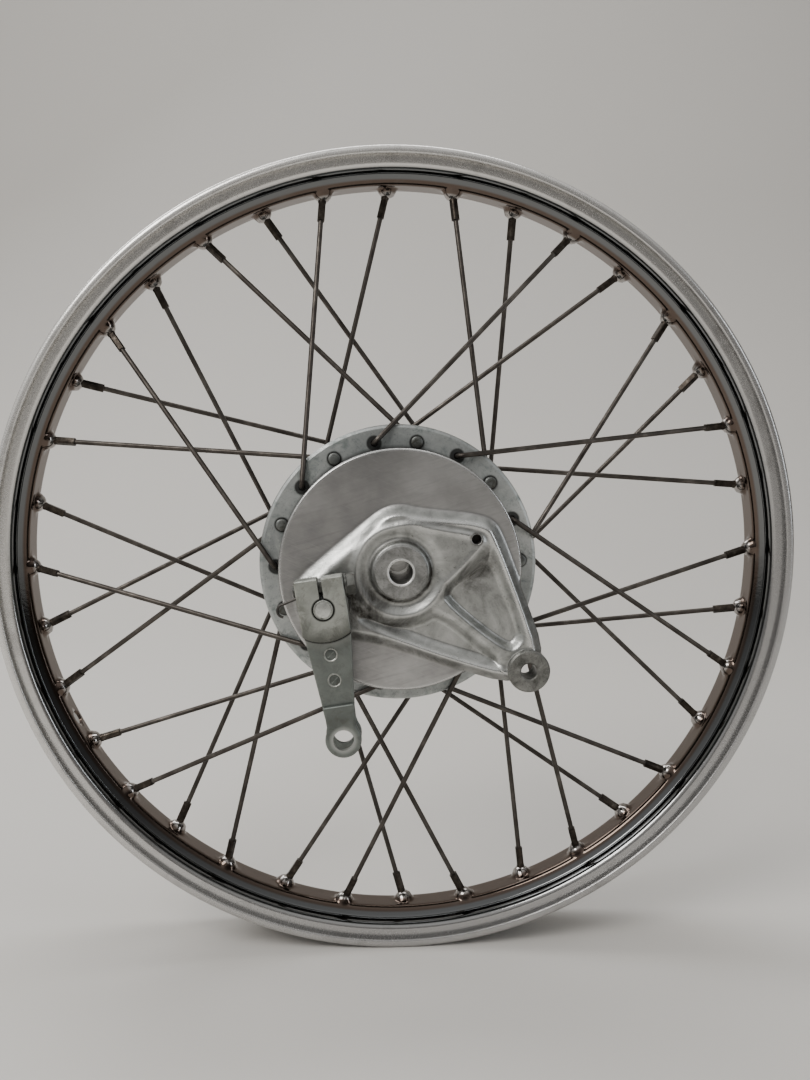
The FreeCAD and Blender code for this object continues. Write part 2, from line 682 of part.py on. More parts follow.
def make_shoe(name, side):
    middle, wide = S["shoe_depth"], S["shoe_width"]
    outer, thick = S["shoe_outer_radius"], S["shoe_web_thick"]
    body = new_body(name)
    web = new_sketch(body, name + "_web", "XZ_Plane", middle - thick * 0.5)
    shoe_web(web, side)
    pad(body, web, thick)
    table = new_sketch(body, name + "_table", "XZ_Plane", middle - wide * 0.5)
    arc_band(table, float(outer), outer - S["shoe_table_thick"], side * 16.0, side * 164.0)
    pad(body, table, wide)
    for end, x in (("anchor", SPRING_LEG_X), ("cam", -SPRING_LEG_X)):
        hook = new_sketch(body, "%s_hook_%s" % (name, end), "XZ_Plane", middle - thick)
        circle(hook, (x, side * SPRING_HOOK_Z), SPRING_HOLE_RADIUS)
        pocket(body, hook, thick * 2.0, True)
    body.Placement = FreeCAD.Placement(ORIGIN, shoe_frame())
    lining = new_body(name.replace("shoe", "lining"))
    band = new_sketch(lining, lining.Name + "_band", "XZ_Plane", middle - wide * 0.5)
    arc_band(band, outer + S["lining_thick"], float(outer), side * 28.0, side * 152.0)
    pad(lining, band, wide)
    lining.Placement = FreeCAD.Placement(ORIGIN, shoe_frame())


def spring_solid(end):
    """Extension spring across the two shoes at the anchor (+1) or cam (-1) end."""
    wire_radius, coil_radius, half = 0.7, 3.0, 11.0
    coil = Part.makeHelix(2.0, 2 * half, coil_radius)
    section = Part.Wire([Part.makeCircle(wire_radius, FreeCAD.Vector(coil_radius, 0, 0), SPIN_AXIS)])
    body = Part.Wire(coil.Edges).makePipeShell([section], True, True)
    body.translate(FreeCAD.Vector(0, 0, -half))
    depth = S["shoe_depth"] - 7.5
    legs = []
    for sign in (-1, 1):
        start = FreeCAD.Vector(coil_radius, 0, sign * half)
        turn = FreeCAD.Vector(coil_radius, 0, sign * SPRING_HOOK_Z)
        leg = Part.makeCylinder(wire_radius, SPRING_HOOK_Z - half, start, turn - start)
        hook = Part.makeCylinder(wire_radius, 9.0, turn, SPIN_AXIS * -1)
        legs.append(leg.fuse([hook, ball(turn, wire_radius), ball(start, wire_radius + 0.02)]))
    spring = body.fuse(legs)
    if end > 0:
        spring.rotate(ORIGIN, SPIN_AXIS, 180)
    spring.translate(FreeCAD.Vector(end * (SPRING_LEG_X + coil_radius), -depth, 0))
    spring.rotate(ORIGIN, SPIN_AXIS, -SIZES["pivot_angle"])
    return Part.makeCompound([spring])


def make_shoes():
    make_shoe("shoe_upper", 1)
    make_shoe("shoe_lower", -1)
    new_feature("shoe_spring_anchor_end", spring_solid(+1))
    new_feature("shoe_spring_cam_end", spring_solid(-1))


# ---------------------------------------------------------------- camshaft and lever

def lever_placement():
    """Sketches of the lever are drawn around the cam axis with the arm pointing down."""
    centre = at(SIZES["pivot_radius"], CAM_ANGLE, 0)
    return FreeCAD.Placement(centre, FreeCAD.Rotation(SPIN_AXIS, -SIZES["lever_angle"]))


def cam_placement():
    centre = at(SIZES["pivot_radius"], CAM_ANGLE, 0)
    return FreeCAD.Placement(centre, FreeCAD.Rotation(SPIN_AXIS, -SIZES["pivot_angle"]))


def make_camshaft():
    body = new_body("brake_camshaft")
    middle, wide = S["shoe_depth"], S["shoe_width"]
    blade_end = middle + wide * 0.5
    half, reach = S["cam_half_thick"], S["cam_half_width"]
    blade = new_sketch(body, "cam_blade", "XZ_Plane", middle - wide * 0.5)
    polygon(blade, [(-reach, -half + 1.4), (-reach + 1.4, -half), (reach - 1.4, -half),
                    (reach, -half + 1.4), (reach, half - 1.4), (reach - 1.4, half),
                    (-reach + 1.4, half), (-reach, half - 1.4)])
    pad(body, blade, wide)
    head = S["lever_head_back_depth"]
    boss(body, "cam_shaft_main", (0.0, 0.0), S["cam_shaft_radius"], blade_end, head - 0.6)
    boss(body, "cam_shaft_end", (0.0, 0.0), S["serration_radius"], head - 0.6,
         head + S["lever_head_thick"] + 1.2)
    body.Placement = cam_placement()


def clamp_head_outline(sketch):
    """Straight-sided head whose lower end is a shallow arc."""
    half, top = float(S["lever_head_half_width"]), float(S["lever_head_top"])
    shoulder = -top + 3.0
    for start, end in (((-half, shoulder), (-half, top)), ((-half, top), (half, top)),
                       ((half, top), (half, shoulder))):
        line_between(sketch, start, end)
    low = Part.Arc(FreeCAD.Vector(-half, shoulder, 0), FreeCAD.Vector(0, shoulder - 4.0, 0),
                   FreeCAD.Vector(half, shoulder, 0))
    sketch.addGeometry(low, False)


def lever_plate_outline():
    """Front plate: wide under the clamp head, narrow above the fork."""
    fork = S["lever_length"] - 17.0
    return [(-11.9, -12.0), (11.9, -12.0), (8.0, -fork), (-8.0, -fork)]


def make_lever():
    body = new_body("brake_lever")
    back, thick = S["lever_head_back_depth"], S["lever_head_thick"]
    height = S["clamp_bolt_height"]
    head = new_sketch(body, "clamp_head", "XZ_Plane", back)
    clamp_head_outline(head)
    pad(body, head, thick)
    front, plate = S["lever_plate_depth"], S["lever_plate_thick"]
    pad(body, face_outline(body, "front_plate", front, lever_plate_outline()), plate)
    fork = S["lever_length"] - 17.0
    tip = face_outline(body, "front_ear", front + 2.6,
                       [(-7.6, -fork + 2.5), (7.6, -fork + 2.5), (7.6, -fork - 6.0),
                        (8.8, -S["lever_length"]), (-8.8, -S["lever_length"]), (-7.6, -fork - 6.0)])
    pad(body, tip, plate)
    boss(body, "front_ear_round", (0.0, -S["lever_length"]), S["lever_eye_radius"], front + 2.6,
         front + 2.6 + plate)
    bore(body, "cam_hole", (0.0, 0.0), S["serration_radius"], back - 1.0, back + thick + 2.0)
    slot = face_outline(body, "clamp_slot", back - 1.0,
                        [(-1.1, 0.0), (1.1, 0.0), (1.1, height + 6.0), (-1.1, height + 6.0)])
    pocket(body, slot, thick + 3.0, True)
    bore(body, "front_clevis_hole", (0.0, -S["lever_length"]), S["lever_eye_hole_radius"],
         front, front + 2.0 * plate)
    bolt_hole = new_sketch(body, "clamp_bolt_hole", "YZ_Plane", -14.0)
    circle(bolt_hole, (-(back + thick * 0.5), height), S["clamp_bolt_radius"] + 0.1)
    pocket(body, bolt_hole, 30.0, True)
    body.Placement = lever_placement()


def make_fork_plate():
    """Rear plate riveted behind the front plate, stepped back to form the second ear."""
    body = new_body("lever_fork_plate")
    front, thick = S["lever_plate_depth"], 3.0
    fork = S["lever_length"] - 17.0
    ear_front = front + 2.6 - S["lever_fork_gap"]
    plate = face_outline(body, "rear_plate", front - thick,
                         [(-9.6, -22.0), (9.6, -22.0), (7.4, -fork), (-7.4, -fork)])
    pad(body, plate, thick)
    step = face_outline(body, "rear_step", ear_front - thick,
                        [(-7.4, -fork + 3.0), (7.4, -fork + 3.0), (7.4, -fork), (-7.4, -fork)])
    pad(body, step, front - ear_front + thick)
    ear = face_outline(body, "rear_ear", ear_front - thick,
                       [(-7.6, -fork + 3.0), (7.6, -fork + 3.0), (7.4, -fork - 7.0),
                        (8.8, -S["lever_length"]), (-8.8, -S["lever_length"]), (-7.4, -fork - 7.0)])
    pad(body, ear, thick)
    boss(body, "rear_ear_round", (0.0, -S["lever_length"]), S["lever_eye_radius"],
         ear_front - thick, ear_front)
    bore(body, "rear_clevis_hole", (0.0, -S["lever_length"]), S["lever_eye_hole_radius"],
         ear_front - thick - 1.0, ear_front + 1.0)
    body.Placement = lever_placement()


BOLT_ACROSS_FLATS = 10.0


def make_lever_fixings():
    front = S["lever_plate_depth"] + S["lever_plate_thick"]
    rivets = []
    for height in (-23.6, -36.6):
        centre = FreeCAD.Vector(0, -front, height)
        rivets.append(Part.makeCylinder(3.7, 0.5, centre, SPIN_AXIS * -1))
    moved = Part.makeCompound(rivets)
    moved.Placement = lever_placement()
    new_feature("lever_rivets", Part.makeCompound(moved.Solids))
    back, thick = S["lever_head_back_depth"], S["lever_head_thick"]
    side = FreeCAD.Vector(1, 0, 0)
    half = S["lever_head_half_width"]
    centre = FreeCAD.Vector(-half - 1.5, -(back + thick / 2), S["clamp_bolt_height"])
    seat = FreeCAD.Vector(half + 0.1, centre.y, centre.z)
    shank = Part.makeCylinder(S["clamp_bolt_radius"], 2 * half + 3.0, centre, side)
    corner = FreeCAD.Vector(1.1, BOLT_ACROSS_FLATS / math.sqrt(3.0), 0)
    corners = [FreeCAD.Rotation(side, 60.0 * k) * corner for k in range(7)]
    head = Part.Face(Part.makePolygon(corners)).extrude(side * 4.0)
    head.translate(seat)
    washer = Part.makeCylinder(5.6, 1.0, seat, side)
    washer = washer.cut(Part.makeCylinder(S["clamp_bolt_radius"], 1.0, seat, side))
    bolt = shank.fuse(head)
    for name, shape in (("clamp_bolt", bolt), ("clamp_washer", washer)):
        shape.Placement = lever_placement()
        new_feature(name, Part.makeCompound([shape]))


CAM_SPRING_RADIUS, CAM_SPRING_WIRE, CAM_SPRING_DEPTH = 9.0, 0.7, 82.75


def make_cam_spring():
    """Open loop of wire around the cam shaft behind the lever, with a hooked free end."""
    radius = CAM_SPRING_RADIUS
    tip = FreeCAD.Vector(-22.1, 0, 0.4)
    angle = math.atan2(tip.z, tip.x) - math.acos(radius / tip.Length)
    leave = FreeCAD.Vector(radius * math.cos(angle), 0, radius * math.sin(angle))
    middle = FreeCAD.Rotation(SPIN_AXIS, 150.0) * leave
    start = FreeCAD.Rotation(SPIN_AXIS, 300.0) * leave
    loop = Part.Arc(start, middle, leave).toShape()
    hook = Part.Arc(tip, FreeCAD.Vector(-23.4, 0, -2.6), FreeCAD.Vector(-20.4, 0, -5.4)).toShape()
    route = Part.Wire([loop, Part.makeLine(leave, tip), hook])
    ahead = FreeCAD.Rotation(SPIN_AXIS, 300.0 - 90.0) * leave
    section = Part.Wire([Part.makeCircle(CAM_SPRING_WIRE, start, ahead)])
    wire = route.makePipeShell([section], True, False)
    wire.translate(at(SIZES["pivot_radius"], CAM_ANGLE, CAM_SPRING_DEPTH))
    new_feature("cam_return_spring", Part.makeCompound([wire]))


# ---------------------------------------------------------------- build and write

def check_document():
    doc.recompute()
    bad = [item.Name for item in doc.Objects if "Invalid" in item.State or "Error" in item.State]
    for item in SUBPARTS:
        if item.Shape.isNull() or not item.Shape.isValid():
            bad.append(item.Label)
    if bad:
        raise RuntimeError("bad objects: " + ", ".join(bad))


def write_parts():
    os.makedirs("parts", exist_ok=True)
    for item in SUBPARTS:
        item.Shape.exportStep("parts/%s.step" % item.Label)
        print("%-26s solids %2d volume %10.1f" % (item.Label, len(item.Shape.Solids), item.Shape.Volume))


make_rim()
make_spokes()
make_hub()
make_cush_drive()
make_axle_stack()
make_panel()
make_anchor()
make_shoes()
make_camshaft()
make_lever()
make_fork_plate()
make_lever_fixings()
make_cam_spring()
check_document()
write_parts()
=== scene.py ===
import json
import math

import bmesh
import bpy
import numpy as np
from mathutils import Matrix, Vector


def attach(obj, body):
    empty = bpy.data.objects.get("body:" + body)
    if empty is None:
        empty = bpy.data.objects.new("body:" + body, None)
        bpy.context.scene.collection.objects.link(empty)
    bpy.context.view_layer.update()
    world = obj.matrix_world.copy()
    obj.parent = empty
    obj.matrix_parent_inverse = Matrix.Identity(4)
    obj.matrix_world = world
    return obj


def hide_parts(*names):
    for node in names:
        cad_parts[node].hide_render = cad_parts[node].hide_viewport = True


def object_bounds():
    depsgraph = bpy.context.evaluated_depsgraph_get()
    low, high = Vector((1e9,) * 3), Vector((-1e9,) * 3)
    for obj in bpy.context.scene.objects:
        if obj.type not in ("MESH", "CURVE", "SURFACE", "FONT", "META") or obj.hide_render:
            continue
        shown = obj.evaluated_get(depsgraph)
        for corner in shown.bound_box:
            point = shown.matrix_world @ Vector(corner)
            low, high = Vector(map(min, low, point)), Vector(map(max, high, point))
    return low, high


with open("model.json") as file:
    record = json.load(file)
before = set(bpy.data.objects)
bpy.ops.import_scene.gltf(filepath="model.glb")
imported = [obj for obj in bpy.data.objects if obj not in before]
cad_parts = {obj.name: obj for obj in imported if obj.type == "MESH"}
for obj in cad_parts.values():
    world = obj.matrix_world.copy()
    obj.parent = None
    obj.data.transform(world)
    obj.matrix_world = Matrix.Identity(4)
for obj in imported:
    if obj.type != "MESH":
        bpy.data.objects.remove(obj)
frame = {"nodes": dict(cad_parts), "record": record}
CAD_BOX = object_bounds()

# Shapes are drawn in millimetres as (right, up) or (radius, depth), with depth growing towards -Y,
# the brake side. MM turns them into the frame's metres.
MM = 0.001


# ---------------------------------------------------------------- shader helpers

class Shader:
    """A small wrapper that makes and links nodes of one material."""

    def __init__(self, name):
        self.material = bpy.data.materials.new(name)
        self.material.use_nodes = True
        self.tree = self.material.node_tree
        self.bsdf = self.tree.nodes["Principled BSDF"]
        self.coord = self.tree.nodes.new("ShaderNodeTexCoord").outputs["Object"]

    def node(self, kind, **inputs):
        made = self.tree.nodes.new(kind)
        for key, value in inputs.items():
            self.plug(value, made.inputs[key])
        return made

    def plug(self, value, socket):
        if isinstance(value, bpy.types.NodeSocket):
            self.tree.links.new(value, socket)
        else:
            socket.default_value = value

    def noise(self, scale, detail=4.0, rough=0.5, vector=None, distortion=0.0):
        made = self.node("ShaderNodeTexNoise", Scale=scale, Detail=detail, Roughness=rough,
                         Distortion=distortion)
        self.tree.links.new(vector or self.coord, made.inputs["Vector"])
        return made.outputs["Fac"]

    def ramp(self, fac, stops):
        made = self.tree.nodes.new("ShaderNodeValToRGB")
        self.tree.links.new(fac, made.inputs["Fac"])
        elements = made.color_ramp.elements
        while len(elements) < len(stops):
            elements.new(0.5)
        for element, (place, colour) in zip(elements, stops):
            element.position = place
            element.color = (*colour, 1.0)
        return made.outputs["Color"]

    def math(self, operation, first, second=0.0, clamp=False):
        made = self.tree.nodes.new("ShaderNodeMath")
        made.operation = operation
        made.use_clamp = clamp
        self.plug(first, made.inputs[0])
        self.plug(second, made.inputs[1])
        return made.outputs[0]

    def mix(self, fac, first, second):
        """Colour that goes from first to second as fac goes from 0 to 1."""
        made = self.tree.nodes.new("ShaderNodeMix")
        made.data_type = "RGBA"
        self.plug(fac, made.inputs[0])
        for colour, socket in ((first, made.inputs[6]), (second, made.inputs[7])):
            self.plug(colour if isinstance(colour, bpy.types.NodeSocket) else (*colour, 1.0), socket)
        return made.outputs[2]

    def span(self, fac, low, high, to_low=0.0, to_high=1.0):
        """The value rescaled from low..high to to_low..to_high and held at both ends."""
        made = self.tree.nodes.new("ShaderNodeMapRange")
        for key, value in (("From Min", low), ("From Max", high), ("To Min", to_low),
                           ("To Max", to_high)):
            made.inputs[key].default_value = value
        self.tree.links.new(fac, made.inputs["Value"])
        return made.outputs["Result"]

    def mapping(self, scale=(1, 1, 1), rotation=(0, 0, 0), vector=None):
        """Coordinates turned first and stretched afterwards."""
        turned = self.tree.nodes.new("ShaderNodeMapping")
        self.tree.links.new(vector or self.coord, turned.inputs["Vector"])
        turned.inputs["Rotation"].default_value = rotation
        made = self.tree.nodes.new("ShaderNodeMapping")
        self.tree.links.new(turned.outputs["Vector"], made.inputs["Vector"])
        made.inputs["Scale"].default_value = scale
        return made.outputs["Vector"]

    def attribute(self, name):
        made = self.tree.nodes.new("ShaderNodeAttribute")
        made.attribute_name = name
        return made.outputs["Fac"]

    def separate(self, vector=None):
        made = self.tree.nodes.new("ShaderNodeSeparateXYZ")
        self.tree.links.new(vector or self.coord, made.inputs[0])
        return made.outputs

    def radius(self):
        """Distance from the wheel's axis in metres."""
        return self.length(self.separate()[0], self.separate()[2])

    def distance(self, x, z):
        """Distance from a line along the wheel's axis direction, through x and z in metres."""
        place = self.separate()
        return self.length(self.math("SUBTRACT", place[0], x), self.math("SUBTRACT", place[2], z))

    def length(self, first, second):
        squares = self.math("MULTIPLY", first, first), self.math("MULTIPLY", second, second)
        return self.math("SQRT", self.math("ADD", *squares))

    def bump(self, height, strength, distance):
        made = self.node("ShaderNodeBump", Height=height, Strength=strength, Distance=distance)
        self.tree.links.new(made.outputs["Normal"], self.bsdf.inputs["Normal"])
        return made

    def set(self, **values):
        names = {"color": "Base Color", "metal": "Metallic", "rough": "Roughness"}
        for key, value in values.items():
            if key == "color" and not isinstance(value, bpy.types.NodeSocket):
                value = (*value, 1.0)
            self.plug(value, self.bsdf.inputs[names[key]])


def edge_wear(s, amount=0.5):
    """1 on convex edges, 0 elsewhere, from the mesh's own curvature."""
    geometry = s.tree.nodes.new("ShaderNodeNewGeometry")
    return s.span(geometry.outputs["Pointiness"], 0.5, 0.5 + 0.12 * amount)


RIM_LIP_INNER = 0.2150
RIM_STEP, RIM_WELL_TOP = 0.2108, 0.2056


def chrome():
    """Hazy plating: light dusty lips with painted light towards the top left, a painted dark reflection
    along the channel's inner side, a brighter well.
    """
    s = Shader("rim_chrome_plating")
    haze = s.noise(9.0, 5.0, 0.6)
    dust = s.noise(1500.0, 3.0, 0.7)
    film = s.noise(60.0, 5.0, 0.65, s.mapping((1, 3, 1)))
    radius = s.radius()
    channel = s.span(radius, RIM_LIP_INNER + 0.0018, RIM_LIP_INNER)
    face = s.span(radius, RIM_LIP_INNER, RIM_LIP_INNER + 0.0035)
    speck = s.math("MULTIPLY", s.span(dust, 0.54, 0.68), s.span(haze, 0.36, 0.60))
    speck = s.math("MULTIPLY", speck, s.math("ADD", s.math("MULTIPLY", face, 0.45), 0.20))
    # Painted reflection: dark grey by the step, dark brown further into the channel.
    wall_reflection = s.mix(s.span(radius, RIM_STEP + 0.001, RIM_STEP), (0.15, 0.155, 0.158),
                 (0.105, 0.080, 0.066))
    place = s.separate()
    across, up = place[0], place[2]
    # Painted light: the lips grow lighter towards the top left.
    lit_top_left = s.span(s.math("SUBTRACT", up, across), -0.20, 0.24)
    lip = s.mix(lit_top_left, (0.43, 0.425, 0.42), (0.74, 0.725, 0.70))
    tint = s.mix(channel, lip, wall_reflection)
    tint = s.mix(s.math("MULTIPLY", speck, 0.4), tint, (0.30, 0.27, 0.24))
    tint = s.mix(s.span(film, 0.56, 0.74, 0.0, 0.35), tint, (0.15, 0.14, 0.13))
    tint = s.mix(s.span(radius, RIM_WELL_TOP + 0.0012, RIM_WELL_TOP), tint, (0.36, 0.34, 0.325))
    normal = s.separate(s.tree.nodes.new("ShaderNodeTexCoord").outputs["Normal"])
    outward = s.math("ADD", s.math("MULTIPLY", normal[0], across), s.math("MULTIPLY", normal[2], up))
    tyre_side = s.math("MULTIPLY", s.span(outward, 0.04, 0.09), channel)
    tint = s.mix(tyre_side, tint, (0.34, 0.335, 0.33))
    rough = s.math("ADD", s.span(haze, 0.35, 0.75, 0.05, 0.13), s.math("MULTIPLY", speck, 0.30))
    rough = s.math("ADD", rough, s.math("MULTIPLY", face, 0.16))
    metal = s.math("SUBTRACT", 1.0, s.math("MULTIPLY", face, 0.22))
    s.set(color=tint, metal=metal, rough=rough)
    s.bump(s.math("ADD", s.noise(600.0, 3.0, 0.6), s.math("MULTIPLY", speck, 0.8)), 0.10, 0.0002)
    return s.material


def spoke_steel():
    s = Shader("spoke_dull_steel")
    patch = s.noise(95.0, 4.0, 0.6)
    fine = s.noise(1500.0, 4.0, 0.6)
    base = s.ramp(patch, [(0.30, (0.040, 0.034, 0.030)), (0.55, (0.075, 0.066, 0.058)),
                          (0.78, (0.15, 0.135, 0.12))])
    base = s.mix(s.span(fine, 0.58, 0.78, 0.0, 0.6), base, (0.07, 0.04, 0.022))
    s.set(color=base, metal=0.8, rough=s.span(patch, 0.3, 0.75, 0.46, 0.34))
    s.bump(fine, 0.25, 0.0002)
    return s.material


def nipple_steel():
    s = Shader("nipple_rusted_steel")
    patch = s.noise(260.0, 4.0, 0.6)
    fine = s.noise(1900.0, 3.0, 0.6)
    base = s.ramp(patch, [(0.34, (0.020, 0.016, 0.013)), (0.58, (0.055, 0.045, 0.036)),
                          (0.80, (0.17, 0.15, 0.13))])
    s.set(color=base, metal=0.85, rough=s.span(fine, 0.3, 0.7, 0.26, 0.50))
    s.bump(fine, 0.3, 0.0002)
    return s.material


# Spoke heads and spoke holes alternate round each flange. First head in degrees, and the depth of
# the flange's outer face.
SPOKE_CIRCLE, SPOKE_STEP = 66.5, 40.0
HEAD_START = {"brake": 1.0, "chain": 11.0}
HEAD_FACE = {"brake": 40.4, "chain": -23.3}


def head_distance(s):
    """Distance on either flange to the nearest spoke head or spoke hole, in metres."""
    x, y, z = s.separate()
    angle = s.math("ARCTAN2", z, x)
    chain = s.math("GREATER_THAN", y, 0.0)
    first = {side: math.radians(angle) for side, angle in HEAD_START.items()}
    start = s.span(chain, 0.0, 1.0, first["brake"], first["chain"])
    step = math.radians(SPOKE_STEP / 2)
    turns = s.math("DIVIDE", s.math("SUBTRACT", angle, start), step)
    off = s.math("SUBTRACT", s.math("FRACT", s.math("ADD", turns, 20.5)), 0.5)
    radius = s.radius()
    across = s.math("MULTIPLY", s.math("MULTIPLY", off, step), radius)
    return s.length(across, s.math("SUBTRACT", radius, SPOKE_CIRCLE * MM))


def hub_cast():
    """Grey blotched casting, with painted shade below the flanges and painted shadow rings around the
    spoke heads and holes.
    """
    s = Shader("hub_oxidised_casting")
    cloud = s.noise(20.0, 6.0, 0.62)
    blotch = s.noise(80.0, 6.0, 0.72, distortion=0.6)
    grain = s.noise(1000.0, 4.0, 0.6)
    base = s.ramp(cloud, [(0.32, (0.28, 0.296, 0.294)), (0.50, (0.41, 0.428, 0.42)),
                          (0.68, (0.56, 0.575, 0.56))])
    base = s.mix(s.span(blotch, 0.50, 0.64, 0.0, 0.75), base, (0.15, 0.18, 0.172))
    base = s.mix(s.span(blotch, 0.45, 0.34, 0.0, 0.6), base, (0.52, 0.54, 0.52))
    base = s.mix(s.span(grain, 0.58, 0.74, 0.0, 0.5), base, (0.07, 0.075, 0.075))
    # Painted shade below the flanges.
    inner = s.span(s.radius(), 0.0648, 0.0628, 0.0, 0.8)
    base = s.mix(inner, base, (0.04, 0.042, 0.04))
    # Painted shadow ring round every spoke head and spoke hole.
    ring = s.span(head_distance(s), 0.0046, 0.0037)
    base = s.mix(s.math("MULTIPLY", ring, 0.92), base, (0.018, 0.018, 0.017))
    s.set(color=base, metal=0.75, rough=s.span(blotch, 0.35, 0.7, 0.40, 0.56))
    s.bump(s.math("ADD", s.math("MULTIPLY", grain, 0.6), blotch), 0.25, 0.0005)
    return s.material


def panel_cast():
    """Brushed disc, brighter worn casting with a painted highlight along its crests and round the
    disc's edge, dark soiling and painted shade in its corners and recesses.
    """
    s = Shader("panel_brushed_and_cast")
    casting, grime_and_shade = s.attribute("casting"), s.attribute("grime_and_shade")
    ridge_highlight = s.attribute("ridge_highlight")
    cloud = s.noise(17.0, 5.0, 0.6)
    stain = s.noise(62.0, 6.0, 0.7, distortion=0.7)
    pits = s.noise(850.0, 3.0, 0.6)
    brushed = s.noise(14.0, 5.0, 0.65, s.mapping((3.0, 1, 34), (0, math.radians(16), 0)))
    fine = s.noise(20.0, 4.0, 0.6, s.mapping((5, 1, 90), (0, math.radians(-24), 0)))
    disc = s.ramp(cloud, [(0.36, (0.24, 0.24, 0.242)), (0.50, (0.36, 0.355, 0.35)),
                          (0.64, (0.50, 0.497, 0.49))])
    disc = s.mix(s.span(brushed, 0.48, 0.70, 0.0, 0.40), disc, (0.20, 0.198, 0.195))
    disc = s.mix(s.span(fine, 0.56, 0.78, 0.0, 0.25), disc, (0.60, 0.595, 0.58))
    cast = s.ramp(stain, [(0.30, (0.54, 0.545, 0.53)), (0.50, (0.39, 0.397, 0.383)),
                          (0.70, (0.20, 0.205, 0.196))])
    cast = s.mix(s.span(pits, 0.62, 0.73, 0.0, 0.6), cast, (0.08, 0.078, 0.07))
    base = s.mix(casting, disc, cast)
    # Painted highlight along the casting's crests and round the disc's edge.
    base = s.mix(s.math("MULTIPLY", ridge_highlight, 0.55), base, (0.74, 0.745, 0.73))
    # Dark brown from the mask: soiling, and painted shade in the recesses and on down-facing slopes.
    dirt_and_shade = s.math("MULTIPLY", grime_and_shade, s.span(stain, 0.34, 0.58, 0.40, 1.0), True)
    base = s.mix(dirt_and_shade, base, (0.035, 0.030, 0.024))
    rough = s.math("ADD", s.span(brushed, 0.4, 0.7, 0.30, 0.38), s.math("MULTIPLY", dirt_and_shade, 0.25))
    rough = s.math("SUBTRACT", rough, s.math("MULTIPLY", ridge_highlight, 0.08))
    s.set(color=base, metal=0.92, rough=rough)
    relief = s.math("MULTIPLY", s.math("ADD", stain, s.math("MULTIPLY", pits, 0.5)), casting)
    relief = s.math("ADD", relief, s.math("MULTIPLY", s.math("ADD", brushed, fine), 0.10))
    s.bump(relief, 0.32, 0.0004)
    return s.material


def boss_metal(name, light, dark):
    """Machined face gone grey, with dark pits."""
    s = Shader(name)
    stain = s.noise(150.0, 6.0, 0.7, distortion=0.6)
    pits = s.noise(1200.0, 3.0, 0.6)
    base = s.mix(s.span(stain, 0.38, 0.66), light, dark)
    base = s.mix(s.span(pits, 0.58, 0.72, 0.0, 0.8), base, (0.05, 0.048, 0.044))
    base = s.mix(edge_wear(s, 0.35), base, (0.72, 0.72, 0.70))
    s.set(color=base, metal=0.8, rough=s.span(stain, 0.3, 0.7, 0.34, 0.55))
    s.bump(s.math("ADD", stain, pits), 0.25, 0.0003)
    return s.material


def turned_steel(name, colour, rough):
    """Steel with fine turning marks across its axis."""
    s = Shader(name)
    cloud = s.noise(90.0, 4.0, 0.6)
    lines = s.noise(26.0, 2.0, 0.5, s.mapping((1, 260, 1)))
    darker = tuple(0.62 * c for c in colour)
    base = s.mix(s.span(cloud, 0.4, 0.7), colour, darker)
    s.set(color=base, metal=0.95, rough=s.math("ADD", s.span(lines, 0.3, 0.7, -0.06, 0.08), rough))
    s.bump(lines, 0.12, 0.0001)
    return s.material


def zinc(name, light, dark, worn=0.6, rings=()):
    """Plated steel gone grey-green, with rings of lighter and darker colour around joints, most of them
    painted highlights and shade.

    Each ring is a centre in metres, its radii where it starts and is full, a strength and a colour.
    """
    s = Shader(name)
    cloud = s.noise(75.0, 5.0, 0.65)
    fine = s.noise(1100.0, 4.0, 0.65)
    stain = s.noise(130.0, 6.0, 0.7, distortion=0.8)
    base = s.mix(s.span(cloud, 0.40, 0.60), dark, light)
    base = s.mix(s.span(stain, 0.49, 0.63, 0.0, 0.85), base, (0.055, 0.052, 0.042))
    base = s.mix(s.span(fine, 0.58, 0.72, 0.0, 0.5), base, (0.07, 0.066, 0.055))
    lighter = tuple(1.7 * c for c in light)
    base = s.mix(s.math("MULTIPLY", edge_wear(s, 0.5), worn), base, lighter)
    for centre, start, full, strength, colour in rings:
        base = s.mix(s.span(s.distance(*centre), start, full, 0.0, strength), base, colour)
    s.set(color=base, metal=0.8, rough=s.span(stain, 0.35, 0.7, 0.34, 0.56))
    s.bump(s.math("ADD", stain, s.math("MULTIPLY", fine, 0.5)), 0.25, 0.0004)
    return s.material


def rubber():
    s = Shader("black_rubber")
    fine = s.noise(700.0, 4.0, 0.6)
    s.set(color=s.mix(s.span(fine, 0.4, 0.7), (0.022, 0.022, 0.022), (0.05, 0.048, 0.046)),
          metal=0.0, rough=0.72)
    s.bump(fine, 0.2, 0.0002)
    return s.material


def grainy(name, dark, light, metal, rough):
    """Fine-grained surface between two tones."""
    s = Shader(name)
    fine = s.noise(520.0, 5.0, 0.65)
    s.set(color=s.mix(s.span(fine, 0.35, 0.7), dark, light), metal=metal, rough=rough)
    s.bump(fine, 0.3, 0.0003)
    return s.material


